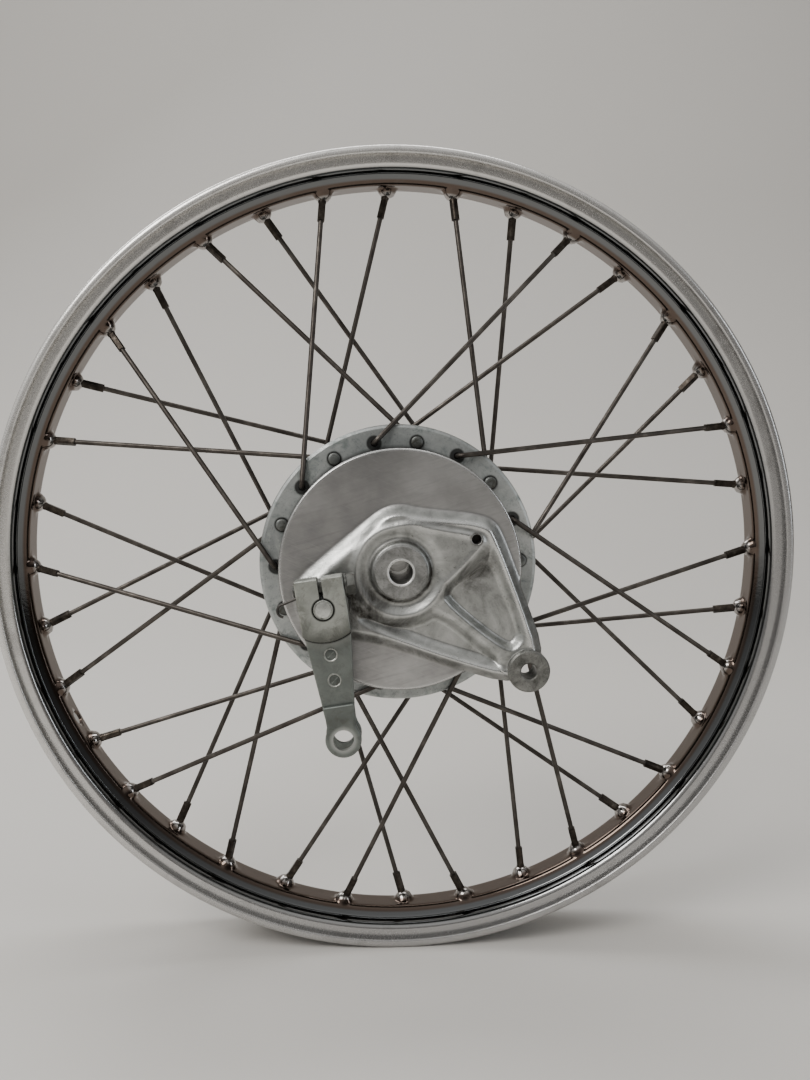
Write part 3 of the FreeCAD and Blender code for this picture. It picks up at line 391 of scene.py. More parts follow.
LEVER_LIGHT, LEVER_DARK = (0.135, 0.148, 0.138), (0.075, 0.083, 0.077)
MATERIALS = {
    "rim_chrome": chrome(),
    "spoke_steel": spoke_steel(),
    "nipple_steel": nipple_steel(),
    "hub_cast": hub_cast(),
    "panel_cast": panel_cast(),
    "liner_iron": grainy("liner_cast_iron", (0.07, 0.065, 0.06), (0.16, 0.15, 0.14), 0.7, 0.5),
    "bearing_steel": turned_steel("bearing_ground_steel", (0.55, 0.55, 0.54), 0.28),
    "collar_steel": turned_steel("collar_turned_steel", (0.42, 0.42, 0.40), 0.36),
    "rubber_black": rubber(),
    "lever_zinc": zinc("lever_aged_zinc", LEVER_LIGHT, LEVER_DARK),
    "bolt_zinc": zinc("bolt_aged_zinc", (0.12, 0.122, 0.115), (0.05, 0.051, 0.047), 0.0),
    "shoe_cast": grainy("shoe_cast_aluminium", (0.35, 0.35, 0.35), (0.5, 0.5, 0.5), 0.8, 0.5),
    "lining": grainy("friction_lining", (0.10, 0.08, 0.06), (0.22, 0.18, 0.14), 0.0, 0.85),
    "spring_steel": turned_steel("spring_wire", (0.09, 0.085, 0.08), 0.42),
}

# Finishes for single pieces within a slot.
BOSS_FACE = boss_metal("boss_machined_grey", (0.36, 0.36, 0.35), (0.17, 0.17, 0.162))
EYE_FACE = boss_metal("eye_pitted_grey", (0.26, 0.26, 0.245), (0.08, 0.08, 0.072))
HEAD_METAL = zinc("spoke_head_worn", (0.19, 0.20, 0.195), (0.09, 0.095, 0.09), 0.0)
RIVET_RIM = zinc("rivet_worn_rim", (0.46, 0.47, 0.44), (0.30, 0.31, 0.285), 0.0)
SHAFT_FACE = zinc("shaft_worn_end", (0.60, 0.61, 0.58), (0.40, 0.405, 0.38), 0.0)
PIN_END = turned_steel("pin_near_black_steel", (0.03, 0.029, 0.027), 0.5)
BORE_LIP = boss_metal("bore_polished_lip", (0.80, 0.80, 0.78), (0.62, 0.62, 0.60))


def dress_cad_nodes():
    """Give every CAD node the material of its slot; the pin that shows through a small hole is near
    black.
    """
    for entry in frame["record"]["subparts"]:
        node = frame["nodes"][entry["node"]]
        material = MATERIALS[entry["material_slot"]]
        if entry["node"] == "anchor_pin":
            material = PIN_END
        node.data.materials.clear()
        node.data.materials.append(material)


# ---------------------------------------------------------------- brake panel casting

PIVOT_RADIUS, PIVOT_ANGLE = 42.0, 22.6
EYE_RADIUS, EYE_ANGLE = 83.6, -38.4
PANEL_RADIUS, PANEL_FACE, PANEL_BACK = 62.6, 70.5, 63.2
ARM_BACK, EYE_BOSS_RADIUS = 66.4, 10.9
AXLE_BORE, BOSS_RADIUS, BOSS_DEPTH = 6.05, 13.9, 80.0

BOSS_INNER_END = 54.0
EYE_BORE, EYE_CLEARANCE, CAM_BORE, ANCHOR_HOLE = 4.1, 7.0, 6.05, 2.6

# Outlines in the plane of the panel, from the axle: right, up.
CASTING = [(-55, -6), (-36, 10.5), (-18, 25), (-8.6, 31.8), (0.8, 33.6), (8, 31.6), (24.6, 29.6),
           (37, 28.4), (47.4, 25.4), (52.0, 19.0), (62.6, -9.4), (76.8, -48.0), (60.8, -61.4),
           (24, -50.2), (-8, -38.4), (-25, -35.0), (-44, -33.0), (-54, -22)]
PLATEAU_WEDGE = [(-20.3, 10.8), (-12.9, 20.7), (-3, 25.6), (6.9, 26.4), (15.5, 24.0), (41.0, 19.8),
                 (44.3, 15.7), (43.2, 11.0), (23.4, -9.4), (8, -19), (-12, -14)]
UPPER_RECESS = [(45.8, 13.3), (50.4, 7.6), (65.2, -31.2), (61.4, -38.6), (55.0, -42.3),
                (24.4, -17.4), (21.7, -10.2), (43.9, 10.4)]
LOWER_RECESS = [(-22.7, -24.8), (-17.8, -21.6), (-9, -25.6), (0, -26.4), (10, -24.4), (19.2, -19.4),
                (48.8, -43.7), (51.3, -48.4), (48.8, -50.9), (20, -42.2), (-7.9, -31.4)]


def on_circle(radius, degrees):
    angle = math.radians(degrees)
    return radius * math.cos(angle), radius * math.sin(angle)


CAM = on_circle(PIVOT_RADIUS, PIVOT_ANGLE + 180.0)
ANCHOR = on_circle(PIVOT_RADIUS, PIVOT_ANGLE)
EYE = on_circle(EYE_RADIUS, EYE_ANGLE)


def inside_distance(x, z, corners):
    """Distance to a polygon's outline, positive inside it and negative outside."""
    nearest = np.full(x.shape, 1e9)
    inside = np.zeros(x.shape, bool)
    for (ax, az), (bx, bz) in zip(corners, corners[1:] + corners[:1]):
        ex, ez = bx - ax, bz - az
        along = np.clip(((x - ax) * ex + (z - az) * ez) / (ex * ex + ez * ez), 0, 1)
        nearest = np.minimum(nearest, np.hypot(x - ax - along * ex, z - az - along * ez))
        crosses = ((az > z) != (bz > z)) & (x < ex * (z - az) / ((bz - az) or 1e-9) + ax)
        inside ^= crosses
    return np.where(inside, nearest, -nearest)


def ease(value, low, high):
    """Smooth step from 0 at low to 1 at high."""
    t = np.clip((value - low) / (high - low), 0, 1)
    return t * t * (3 - 2 * t)


def bell(value, middle, width):
    """Smooth bump, 1 at middle."""
    return np.exp(-((value - middle) / width) ** 2)


def rounded(corners, passes=2):
    """The outline with its corners cut back, for softer cast shapes."""
    for _ in range(passes):
        cut = []
        for (ax, az), (bx, bz) in zip(corners, corners[1:] + corners[:1]):
            cut.append((0.75 * ax + 0.25 * bx, 0.75 * az + 0.25 * bz))
            cut.append((0.25 * ax + 0.75 * bx, 0.25 * az + 0.75 * bz))
        corners = cut
    return corners


def relief(x, z):
    """Height of the cast relief above the panel's flat face, and the distances that shape it."""
    eye = EYE_BOSS_RADIUS - np.hypot(x - EYE[0], z - EYE[1])
    border = np.maximum(inside_distance(x, z, rounded(CASTING)), eye)
    radius = np.hypot(x, z)
    crest = 0.3 + 0.7 * ease(x, -16.0, 12.0)
    slope_end = 5.4 + 3.6 * (1 - ease(x, -32.0, -4.0)) * ease(z, -12.0, 2.0)
    height = 4.1 * ease(border, -1.4, slope_end) + 0.9 * crest * bell(border, 5.0, 2.4)
    wedge = np.maximum(inside_distance(x, z, rounded(PLATEAU_WEDGE)), 25.2 - radius)
    height += 1.5 * ease(wedge, -2.0, 2.8) + 0.35 * bell(wedge, 2.4, 1.6)
    upper_wall = 3.4 + 3.0 * ease(x + z, 16.0, 40.0)
    upper = ease(inside_distance(x, z, rounded(UPPER_RECESS)), -1.6, upper_wall)
    lower = ease(inside_distance(x, z, rounded(LOWER_RECESS)), -2.2, 5.4)
    recess = np.maximum(upper, lower)
    height = height * (1 - recess) - 0.1 * recess
    height -= 1.6 * bell(radius, BOSS_RADIUS + 3.6, 3.2) * (1 - recess)
    height += 1.7 * ease(BOSS_RADIUS + 1.9 - radius, -0.4, 1.8)
    cam = 15.5 - np.hypot(x - CAM[0], z - CAM[1])
    height = np.maximum(height, 8.6 * ease(cam, 0.0, 4.5))
    height = np.maximum(height, 5.6 * ease(eye, -0.6, 1.0))
    return height, dict(border=border, wedge=wedge, upper=upper, lower=lower, crest=crest)


def dirt_and_shade_places(x, z, border, upper, lower, casting):
    """0 to 1 for soiling and painted shade: painted shade in the upper recess along its upper-left side
    and in the lower recess below the boss; darker round the boss ring, beside the lever, at the
    casting's edge and round the anchor hole.
    """
    radius = np.hypot(x, z)
    from_wall = 0.686 * (x - 38) - 0.727 * (z + 1.5)
    along_wall = 0.727 * (x - 38) + 0.686 * (z + 1.5)
    below_boss = np.hypot((x + 4) / 1.8, z + 28)
    near_lever = np.hypot((x - CAM[0] - 17) / 1.2, z - CAM[1] - 1)
    anchor = np.hypot(x - ANCHOR[0], z - ANCHOR[1])
    # The first two are painted shade: the upper recess along its upper-left side, and the lower recess
    # just below the boss.
    places = [bell(from_wall, 2.0, 6.5) * bell(along_wall, 1.0, 13.0) * ease(upper, 0.1, 0.6),
              0.7 * bell(below_boss, 0, 5.0) * ease(lower, 0.1, 0.5),
              0.8 * bell(radius, BOSS_RADIUS + 1.8, 1.3),
              1.25 * bell(near_lever, 0, 12.0) * casting,
              0.2 * bell(border, -0.6, 1.4),
              bell(anchor, 3.0, 0.7)]
    return np.clip(np.maximum.reduce(places), 0, 1)


def casting_height(x, z):
    """Height of the relief, and the masks that the panel's material reads."""
    height, parts = relief(x, z)
    border, wedge, crest = parts["border"], parts["wedge"], parts["crest"]
    casting = ease(border, -1.2, 1.0)
    grime_and_shade = dirt_and_shade_places(x, z, border, parts["upper"], parts["lower"], casting)
    recess = np.maximum(parts["upper"], parts["lower"])
    # Painted highlight mask: the crests of the casting's border and of the plateau, stronger to the
    # right, and the disc's outer edge.
    ridge_highlight = np.maximum(crest * bell(border, 5.0, 1.8), 0.5 * bell(wedge, 2.4, 1.5)) * (1 - recess)
    ridge_highlight = np.maximum(ridge_highlight, bell(np.hypot(x, z), PANEL_RADIUS - 0.5, 0.9) * (1 - casting))
    return height, casting, grime_and_shade, ridge_highlight


def shaded_walls(x, z, height):
    """1 on the relief's steep slopes that face down and to the right, turned away from the light:
    painted shade.
    """
    slope_ring, slope_turn = np.gradient(height)
    reach = np.hypot(x, z)
    ring_step = np.gradient(reach, axis=0)
    turn_step = reach * 2 * math.pi / reach.shape[1]
    outward = slope_ring / ring_step
    around = slope_turn / turn_step
    fall_x = -(outward * x - around * z) / reach
    fall_z = -(outward * z + around * x) / reach
    return ease(0.5 * fall_x - 0.85 * fall_z, 0.15, 0.75)


def panel_reach(angle):
    """Distance from the axle to the panel's outline in each direction."""
    steps = np.arange(PANEL_RADIUS, 95.0, 0.05)
    x, z = np.outer(np.cos(angle), steps), np.outer(np.sin(angle), steps)
    border = np.maximum(inside_distance(x, z, rounded(CASTING)),
                        EYE_BOSS_RADIUS - 0.6 - np.hypot(x - EYE[0], z - EYE[1]))
    return np.max(np.where(border > 0, steps, PANEL_RADIUS), axis=1)


PANEL_SPOKES, PANEL_RINGS = 900, 110
PANEL_SKIN, PANEL_EDGE = 2.6, 0.7
PANEL_STEP = (57.0, 54.0)
# Strength of the painted shade on the relief's down-facing slopes.
WALL_SHADE = 0.5


def make_panel():
    """Panel as a polar grid: relief on its face, then its edge, back and inner step."""
    angle = np.linspace(0, 2 * math.pi, PANEL_SPOKES, endpoint=False)
    reach = panel_reach(angle)
    inner = np.full(PANEL_SPOKES, AXLE_BORE + 2.0)
    share = np.linspace(0, 1, PANEL_RINGS)
    radius = inner + np.outer(share, reach - PANEL_EDGE - inner)
    x, z = radius * np.cos(angle), radius * np.sin(angle)
    height, casting, grime_and_shade, ridge_highlight = casting_height(x, z)
    # Painted shade: slopes facing down and to the right join the dark mask.
    grime_and_shade = np.clip(grime_and_shade + WALL_SHADE * shaded_walls(x, z, height), 0, 1)
    rings = [(radius[k], PANEL_FACE + height[k]) for k in range(PANEL_RINGS)]
    beyond = ease(reach, PANEL_RADIUS, PANEL_RADIUS + 1.0)
    back = PANEL_BACK + (ARM_BACK - PANEL_BACK) * beyond
    rings.append((reach, PANEL_FACE + height[-1] - PANEL_EDGE))
    rings.append((reach, back))
    full = np.ones(PANEL_SPOKES)
    rings.append((full * PANEL_STEP[0], full * PANEL_BACK))
    rings.append((full * PANEL_STEP[1], full * (PANEL_BACK + PANEL_SKIN)))
    rings.append((inner, full * (PANEL_BACK + PANEL_SKIN)))
    ring_x = np.array([reach * np.cos(angle) for reach, depth in rings])
    ring_z = np.array([reach * np.sin(angle) for reach, depth in rings])
    depth = np.array([depth for reach, depth in rings])
    verts = np.stack([ring_x, -depth, ring_z], axis=-1).reshape(-1, 3) * MM
    count = len(rings)
    faces = []
    for ring in range(count):
        near, far = ring * PANEL_SPOKES, (ring + 1) % count * PANEL_SPOKES
        for step in range(PANEL_SPOKES):
            after = (step + 1) % PANEL_SPOKES
            faces.append((near + step, near + after, far + after, far + step))
    piece = new_mesh("brake_panel_casting", verts.tolist(), faces)
    for name, values in (("casting", casting), ("grime_and_shade", grime_and_shade), ("ridge_highlight", ridge_highlight)):
        layer = piece.data.attributes.new(name, "FLOAT", "POINT")
        beyond_face = np.zeros((count - PANEL_RINGS) * PANEL_SPOKES)
        full_values = np.concatenate([values.ravel(), beyond_face])
        layer.data.foreach_set("value", full_values.astype(np.float32))
    holes = [(CAM, CAM_BORE), (ANCHOR, ANCHOR_HOLE), (EYE, EYE_CLEARANCE)]
    drill(piece, holes, PANEL_BACK - 10, BOSS_DEPTH + 10)
    return piece


def linked_piece(name, mesh):
    """Object for a mesh, in the scene."""
    piece = bpy.data.objects.new(name, mesh)
    bpy.context.collection.objects.link(piece)
    return piece


def new_mesh(name, verts, faces):
    """Smooth-shaded piece from points and faces."""
    mesh = bpy.data.meshes.new(name)
    mesh.from_pydata(verts, [], faces)
    mesh.update()
    mesh.polygons.foreach_set("use_smooth", [True] * len(mesh.polygons))
    return linked_piece(name, mesh)


def piece_from(shape, name):
    """Piece from a bmesh, which is freed."""
    mesh = bpy.data.meshes.new(name)
    shape.to_mesh(mesh)
    shape.free()
    return linked_piece(name, mesh)


def lathe(name, profile, centre=(0.0, 0.0), steps=128, sharp=35.0):
    """Turned ring from (radius, depth) points about an axis along Y through centre."""
    verts, faces = [], []
    for radius, depth in profile:
        for step in range(steps):
            angle = 2 * math.pi * step / steps
            verts.append(((centre[0] + radius * math.cos(angle)) * MM, -depth * MM,
                          (centre[1] + radius * math.sin(angle)) * MM))
    count = len(profile)
    for ring in range(count):
        near, far = ring * steps, (ring + 1) % count * steps
        for step in range(steps):
            after = (step + 1) % steps
            faces.append((near + step, near + after, far + after, far + step))
    piece = new_mesh(name, verts, faces)
    piece.data.set_sharp_from_angle(angle=math.radians(sharp))
    return piece


def drill(piece, holes, depth_from, depth_to):
    """Cut round holes along Y through a piece."""
    for centre, radius in holes:
        cutter = lathe("cutter", [(radius, depth_from), (radius, depth_to), (0.001, depth_to),
                                  (0.001, depth_from)], centre, 96)
        cut_with(piece, cutter)


def apply_modifiers(piece):
    """Keep the evaluated mesh and drop the modifiers that made it."""
    graph = bpy.context.evaluated_depsgraph_get()
    mesh = bpy.data.meshes.new_from_object(piece.evaluated_get(graph), depsgraph=graph)
    piece.modifiers.clear()
    piece.data = mesh


def cut_with(piece, cutter):
    """Subtract cutter from piece and throw the cutter away."""
    modifier = piece.modifiers.new("cut", "BOOLEAN")
    modifier.operation = "DIFFERENCE"
    modifier.object = cutter
    modifier.solver = "EXACT"
    apply_modifiers(piece)
    bpy.data.objects.remove(cutter)


def out_normals(piece):
    """Turn every face outwards."""
    shape = bmesh.new()
    shape.from_mesh(piece.data)
    bmesh.ops.recalc_face_normals(shape, faces=shape.faces)
    shape.to_mesh(piece.data)
    shape.free()


def cylinder_between(name, start, end, radius, steps):
    """Closed round bar between two points in metres."""
    shape = bmesh.new()
    length = (end - start).length
    bmesh.ops.create_cone(shape, cap_ends=True, segments=steps, radius1=radius, radius2=radius,
                          depth=length)
    turn = (end - start).to_track_quat("Z", "Y").to_matrix().to_4x4()
    bmesh.ops.transform(shape, matrix=Matrix.Translation((start + end) / 2) @ turn, verts=shape.verts)
    return piece_from(shape, name)


def dress(piece, material, body, node=None):
    """Give a visual piece its material, its body and the CAD node it stands for."""
    piece.data.materials.clear()
    piece.data.materials.append(material)
    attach(piece, body)
    if node:
        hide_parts(node)


# ---------------------------------------------------------------- rim

# Middle of the rolled sheet on one half: distance from the middle plane, radius, corner radius.
RIM_LINE = [(23.2, 222.3, 0.0), (23.2, 225.7, 1.9), (18.8, 225.7, 2.2), (17.6, 215.6, 2.8),
            (10.6, 215.0, 2.4), (7.4, 209.3, 2.4)]
RIM_SHEET = 1.6
WELL_RADIUS, DIMPLE_RADIUS, DIMPLE_OFFSET = 209.3, 5.7, 2.5
# Slope past a dimple's edge, reach round it, softness of the join.
DIMPLE_SKIRT, DIMPLE_REACH, DIMPLE_BLEND = 3.0, 8.0, 0.5
SPOKE_LEAD, SPOKES_IN_GROUP, SPOKES = 40.0, 9, 36
FIRST_HOLE, HOLE_PITCH, HOLE_ZONE = 1.0, 10.0, 1.75
# Angle at the hub, way it leans to the rim, side of the flange (+1 is the brake side).
SPOKE_GROUPS = [(21.0, -1, +1), (1.0, +1, +1), (11.0, -1, -1), (31.0, +1, -1)]
FLANGE_MIDDLE = {+1: 35.6, -1: -18.5}
VALVE_ANGLE, VALVE_RADIUS = 206.5, 4.2


def rounded_line(corners, arc_steps=5, span=1.1):
    """Points along an open line whose corners are replaced by tangent arcs."""
    points = [np.array(corner[:2]) for corner in corners]
    line = [points[0]]
    for before, here, after, corner in zip(points, points[1:], points[2:], corners[1:]):
        back = (before - here) / np.linalg.norm(before - here)
        ahead = (after - here) / np.linalg.norm(after - here)
        half = math.acos(np.clip(back @ ahead, -1, 1)) / 2
        bisector = (back + ahead) / np.linalg.norm(back + ahead)
        centre = here + bisector * corner[2] / math.sin(half)
        start, end = here + back * corner[2] / math.tan(half), here + ahead * corner[2] / math.tan(half)
        for step in range(arc_steps + 1):
            t = step / arc_steps
            ray = (start - centre) * (1 - t) + (end - centre) * t
            line.append(centre + ray / np.linalg.norm(ray) * corner[2])
    line.append(points[-1])
    dense = []
    for here, after in zip(line, line[1:]):
        count = max(1, round(np.linalg.norm(after - here) / span))
        dense += [here + (after - here) * k / count for k in range(count)]
    return np.array(dense + [line[-1]])


def sheet_loop(line, thickness):
    """Closed outline of a bent sheet, with rounded free edges."""
    along = np.gradient(line, axis=0)
    along /= np.linalg.norm(along, axis=1)[:, None]
    normal = np.stack([-along[:, 1], along[:, 0]], axis=1)
    half = thickness / 2
    ends = []
    for tip, outward, side in ((line[-1], along[-1], normal[-1]), (line[0], -along[0], -normal[0])):
        turns = [math.radians(a) for a in (60, 30, 0, -30, -60)]
        ends.append([tip + half * (side * math.sin(t) + outward * math.cos(t)) for t in turns])
    return np.concatenate([line + normal * half, ends[0], (line - normal * half)[::-1], ends[1]])


def rim_angles():
    """Angles around the rim, close together at every spoke hole."""
    fine = np.linspace(-HOLE_ZONE, HOLE_ZONE, 15)
    coarse = np.linspace(HOLE_ZONE, HOLE_PITCH - HOLE_ZONE, 8)[1:-1]
    one = np.concatenate([fine, coarse])
    return np.radians(np.concatenate([FIRST_HOLE + HOLE_PITCH * k + one for k in range(SPOKES)]))


def spoke_lines():
    """Seat point on the rim well and unit direction to the hub, for every spoke."""
    lines = []
    for start, turn, side in SPOKE_GROUPS:
        for step in range(SPOKES_IN_GROUP):
            hub = math.radians(start + SPOKE_STEP * step)
            rim = hub + math.radians(turn * SPOKE_LEAD)
            seat = np.array([WELL_RADIUS * math.cos(rim), -side * DIMPLE_OFFSET,
                             WELL_RADIUS * math.sin(rim)])
            flange = np.array([SPOKE_CIRCLE * math.cos(hub), -FLANGE_MIDDLE[side],
                               SPOKE_CIRCLE * math.sin(hub)])
            inward = (flange - seat) / np.linalg.norm(flange - seat)
            lines.append((seat, inward))
    return lines


def press_dimples(points):
    """Push the well's sheet towards the hub into a rounded dimple at every spoke."""
    for seat, inward in spoke_lines():
        offset = points - seat
        near = np.where(np.linalg.norm(offset, axis=1) < DIMPLE_REACH + 5.0)[0]
        along = offset[near] @ inward
        across = np.linalg.norm(offset[near] - along[:, None] * inward, axis=1)
        dome = np.sqrt(np.clip(DIMPLE_RADIUS ** 2 - across ** 2, 0, None))
        dome = np.where(across < DIMPLE_RADIUS, dome, -DIMPLE_SKIRT * (across - DIMPLE_RADIUS))
        dome = np.where(along < -0.4, dome - RIM_SHEET, dome)
        gap = along - dome
        risen = 0.5 * (along + dome + np.sqrt(gap ** 2 + DIMPLE_BLEND))
        push = np.clip((risen - along), 0, None) * (across < DIMPLE_REACH)
        points[near] += push[:, None] * inward
    return points


def make_rim():
    """Rolled sheet swept round the wheel, with dimples and the valve hole."""
    line = rounded_line([(-y, r, c) for y, r, c in RIM_LINE] + RIM_LINE[::-1])
    loop = sheet_loop(line, RIM_SHEET)
    angles = rim_angles()
    count = len(loop)
    points = np.stack([np.outer(np.cos(angles), loop[:, 1]),
                       np.tile(loop[:, 0], (len(angles), 1)),
                       np.outer(np.sin(angles), loop[:, 1])], axis=-1).reshape(-1, 3)
    points = press_dimples(points)
    faces = []
    for turn in range(len(angles)):
        near, far = turn * count, (turn + 1) % len(angles) * count
        for step in range(count):
            after = (step + 1) % count
            faces.append((near + step, near + after, far + after, far + step))
    piece = new_mesh("rim_rolled_sheet", (points * MM).tolist(), faces)
    out_normals(piece)
    angle = math.radians(VALVE_ANGLE)
    out = Vector((math.cos(angle), 0, math.sin(angle)))
    cutter = cylinder_between("cutter", out * (WELL_RADIUS - 14.3) * MM,
                              out * (WELL_RADIUS + 12.7) * MM, VALVE_RADIUS * MM, 48)
    cut_with(piece, cutter)
    return piece


# ---------------------------------------------------------------- brake lever

LEVER_LENGTH, LEVER_ANGLE = 66.9, 7.9
HEAD_BACK, HEAD_FRONT = 84.0, 95.0
PLATE_BACK, PLATE_FRONT = 86.0, 89.6
EAR_SHIFT, FORK_GAP, EAR_THICK = 2.6, 9.0, 3.0
LEVER_EYE, LEVER_EYE_HOLE = 9.1, 5.2
CREASE_HEIGHT = 16.8 - LEVER_LENGTH
NECK_HALF_WIDTH = 7.4
SHAFT_HOLE, SHAFT_RADIUS = 4.85, 4.8
SLOT_HALF_WIDTH, HEAD_TOP = 1.1, 15.6
HEAD_ARC_RADIUS, HEAD_ARC_RISE = 20.8, 4.4
RIVET_HEIGHTS, RIVET_SEAT = (-23.6, -36.6), 89.4


def along_lever(height):
    """Point in metres on the lever's middle line, at a height above the cam's axis."""
    lean = math.radians(LEVER_ANGLE)
    return (CAM[0] - height * math.sin(lean)) * MM, (CAM[1] + height * math.cos(lean)) * MM


# Rings round the joints: a painted highlight round the eye's rim, a painted shadow line under the clamp
# head with a lighter band below it, and painted shade in the gap round the shaft's end.
JOINT_RADIUS, JOINT_CENTRE = HEAD_ARC_RADIUS * MM, along_lever(HEAD_ARC_RISE)
SHAFT_PLACE, EAR_PLACE = along_lever(0.0), along_lever(-LEVER_LENGTH)
EAR_FACE = zinc("ear_aged_zinc", LEVER_LIGHT, LEVER_DARK, rings=[
    # Painted highlight round the eye's rim.
    (EAR_PLACE, 0.0074, 0.0056, 0.7, (0.42, 0.43, 0.41))])
PLATE_FACE = zinc("lever_plate_zinc", LEVER_LIGHT, LEVER_DARK, rings=[
    (JOINT_CENTRE, JOINT_RADIUS + 0.0056, JOINT_RADIUS + 0.0018, 0.55, (0.30, 0.31, 0.29)),
    # Painted shadow line where the plate meets the clamp head's round lower edge.
    (JOINT_CENTRE, JOINT_RADIUS + 0.0018, JOINT_RADIUS + 0.0009, 1.0, (0.015, 0.015, 0.014))])
CLAMP_FACE = zinc("clamp_aged_zinc", (0.34, 0.35, 0.32), (0.15, 0.16, 0.145), 0.35, rings=[
    # Darker band along the head's round lower edge.
    (JOINT_CENTRE, JOINT_RADIUS - 0.0070, JOINT_RADIUS - 0.0005, 0.8, (0.07, 0.072, 0.062)),
    (SHAFT_PLACE, 0.0095, 0.0060, 0.5, (0.44, 0.45, 0.42)),
    # Painted shade in the gap round the shaft's end.
    (SHAFT_PLACE, 0.0062, 0.0055, 1.0, (0.018, 0.018, 0.016))])


def arc_points(centre, radius, start, end, steps):
    """Points along an arc between two angles in degrees."""
    angles = [math.radians(start + (end - start) * k / steps) for k in range(steps + 1)]
    return [(centre[0] + radius * math.cos(a), centre[1] + radius * math.sin(a)) for a in angles]


def plate(name, outline, back, front, bevel):
    """Flat piece with a given outline and softened edges."""
    shape = bmesh.new()
    low = [shape.verts.new((x * MM, -back * MM, z * MM)) for x, z in outline]
    high = [shape.verts.new((x * MM, -front * MM, z * MM)) for x, z in outline]
    shape.faces.new(low)
    shape.faces.new(high[::-1])
    for index in range(len(outline)):
        after = (index + 1) % len(outline)
        shape.faces.new((low[index], high[index], high[after], low[after]))
    bmesh.ops.recalc_face_normals(shape, faces=shape.faces)
    piece = piece_from(shape, name)
    soften(piece, bevel)
    return piece


def soften(piece, bevel):
    """Round every edge sharper than 30 degrees and shade it smooth."""
    modifier = piece.modifiers.new("soften", "BEVEL")
    modifier.width = bevel * MM
    modifier.segments = 3
    modifier.limit_method = "ANGLE"
    modifier.angle_limit = math.radians(30)
    apply_modifiers(piece)
    piece.data.polygons.foreach_set("use_smooth", [True] * len(piece.data.polygons))
    piece.data.set_sharp_from_angle(angle=math.radians(32))


def steady_normals(piece):
    """Keep large flat faces flat in shading after bevels and cuts."""
    piece.data.set_sharp_from_angle(angle=math.radians(32))
    modifier = piece.modifiers.new("steady", "WEIGHTED_NORMAL")
    modifier.keep_sharp = True
    modifier.weight = 100
    apply_modifiers(piece)


def ear_outline(top_half, top):
    """Neck that swells into a round eye at the lever's end."""
    fork = -LEVER_LENGTH
    eye = arc_points((0, fork), LEVER_EYE, 152, 388, 36)
    left = [(-top_half, top), (-NECK_HALF_WIDTH, fork + 11.5), (0.1 - NECK_HALF_WIDTH, fork + 7.6)]
    return left + eye + [(-x, z) for x, z in reversed(left)]


def place_on_lever(piece):
    """Move a piece drawn about the cam axis to its place on the panel."""
    turn = Matrix.Rotation(math.radians(-LEVER_ANGLE), 4, "Y")
    piece.data.transform(Matrix.Translation((CAM[0] * MM, 0, CAM[1] * MM)) @ turn)


def make_lever_head():
    """Clamp head with a round lower edge, split above the shaft."""
    low = arc_points((0, HEAD_ARC_RISE), HEAD_ARC_RADIUS, -54.5, -125.5, 12)
    outline = [(-12.6, HEAD_TOP), (11.8, HEAD_TOP)] + low
    head = plate("lever_clamp_head", outline, HEAD_BACK, HEAD_FRONT, 0.9)
    slot = [(-SLOT_HALF_WIDTH, 0), (SLOT_HALF_WIDTH, 0), (SLOT_HALF_WIDTH, 20), (-SLOT_HALF_WIDTH, 20)]
    cut_with(head, plate("cutter", slot, HEAD_BACK - 3, HEAD_FRONT + 3, 0.01))
    drill(head, [((0, 0), SHAFT_HOLE)], HEAD_BACK - 3, HEAD_FRONT + 3)
    return head


def tapered(top_half, top, low_half, low):
    """Four corners of a strip that narrows downwards."""
    return [(-top_half, top), (top_half, top), (low_half, low), (-low_half, low)]


def make_plates():
    """Front plate with its ear, and the rear plate, stepped back to leave the fork's gap."""
    eye = [((0, -LEVER_LENGTH), LEVER_EYE_HOLE)]
    crease, back_face = CREASE_HEIGHT, PLATE_BACK + EAR_SHIFT - FORK_GAP
    front = plate("lever_front_plate", tapered(11.9, -11.0, 8.0, crease - 0.6), PLATE_BACK,
                  PLATE_FRONT, 0.7)
    ear = plate("lever_front_ear", ear_outline(8.1, crease + 1.0), PLATE_BACK + EAR_SHIFT,
                PLATE_FRONT + EAR_SHIFT, 1.1)
    drill(ear, eye, PLATE_BACK, PLATE_FRONT + 8)
    rear = plate("lever_rear_plate", tapered(9.6, -22.0, NECK_HALF_WIDTH, crease),
                 PLATE_BACK - EAR_THICK, PLATE_BACK, 0.6)
    step = plate("lever_rear_step", tapered(NECK_HALF_WIDTH, crease + 2.0, NECK_HALF_WIDTH,
                                            crease - 1.2), back_face - EAR_THICK, PLATE_BACK, 0.6)
    rear_ear = plate("lever_rear_ear", ear_outline(7.6, crease + 1.6), back_face - EAR_THICK,
                     back_face, 0.7)
    drill(rear_ear, eye, back_face - 9, back_face + 6)
    plain = MATERIALS["lever_zinc"]
    return [(front, "brake_lever", PLATE_FACE), (ear, "brake_lever", EAR_FACE)] + [
        (piece, "lever_fork_plate", plain) for piece in (rear, step, rear_ear)]


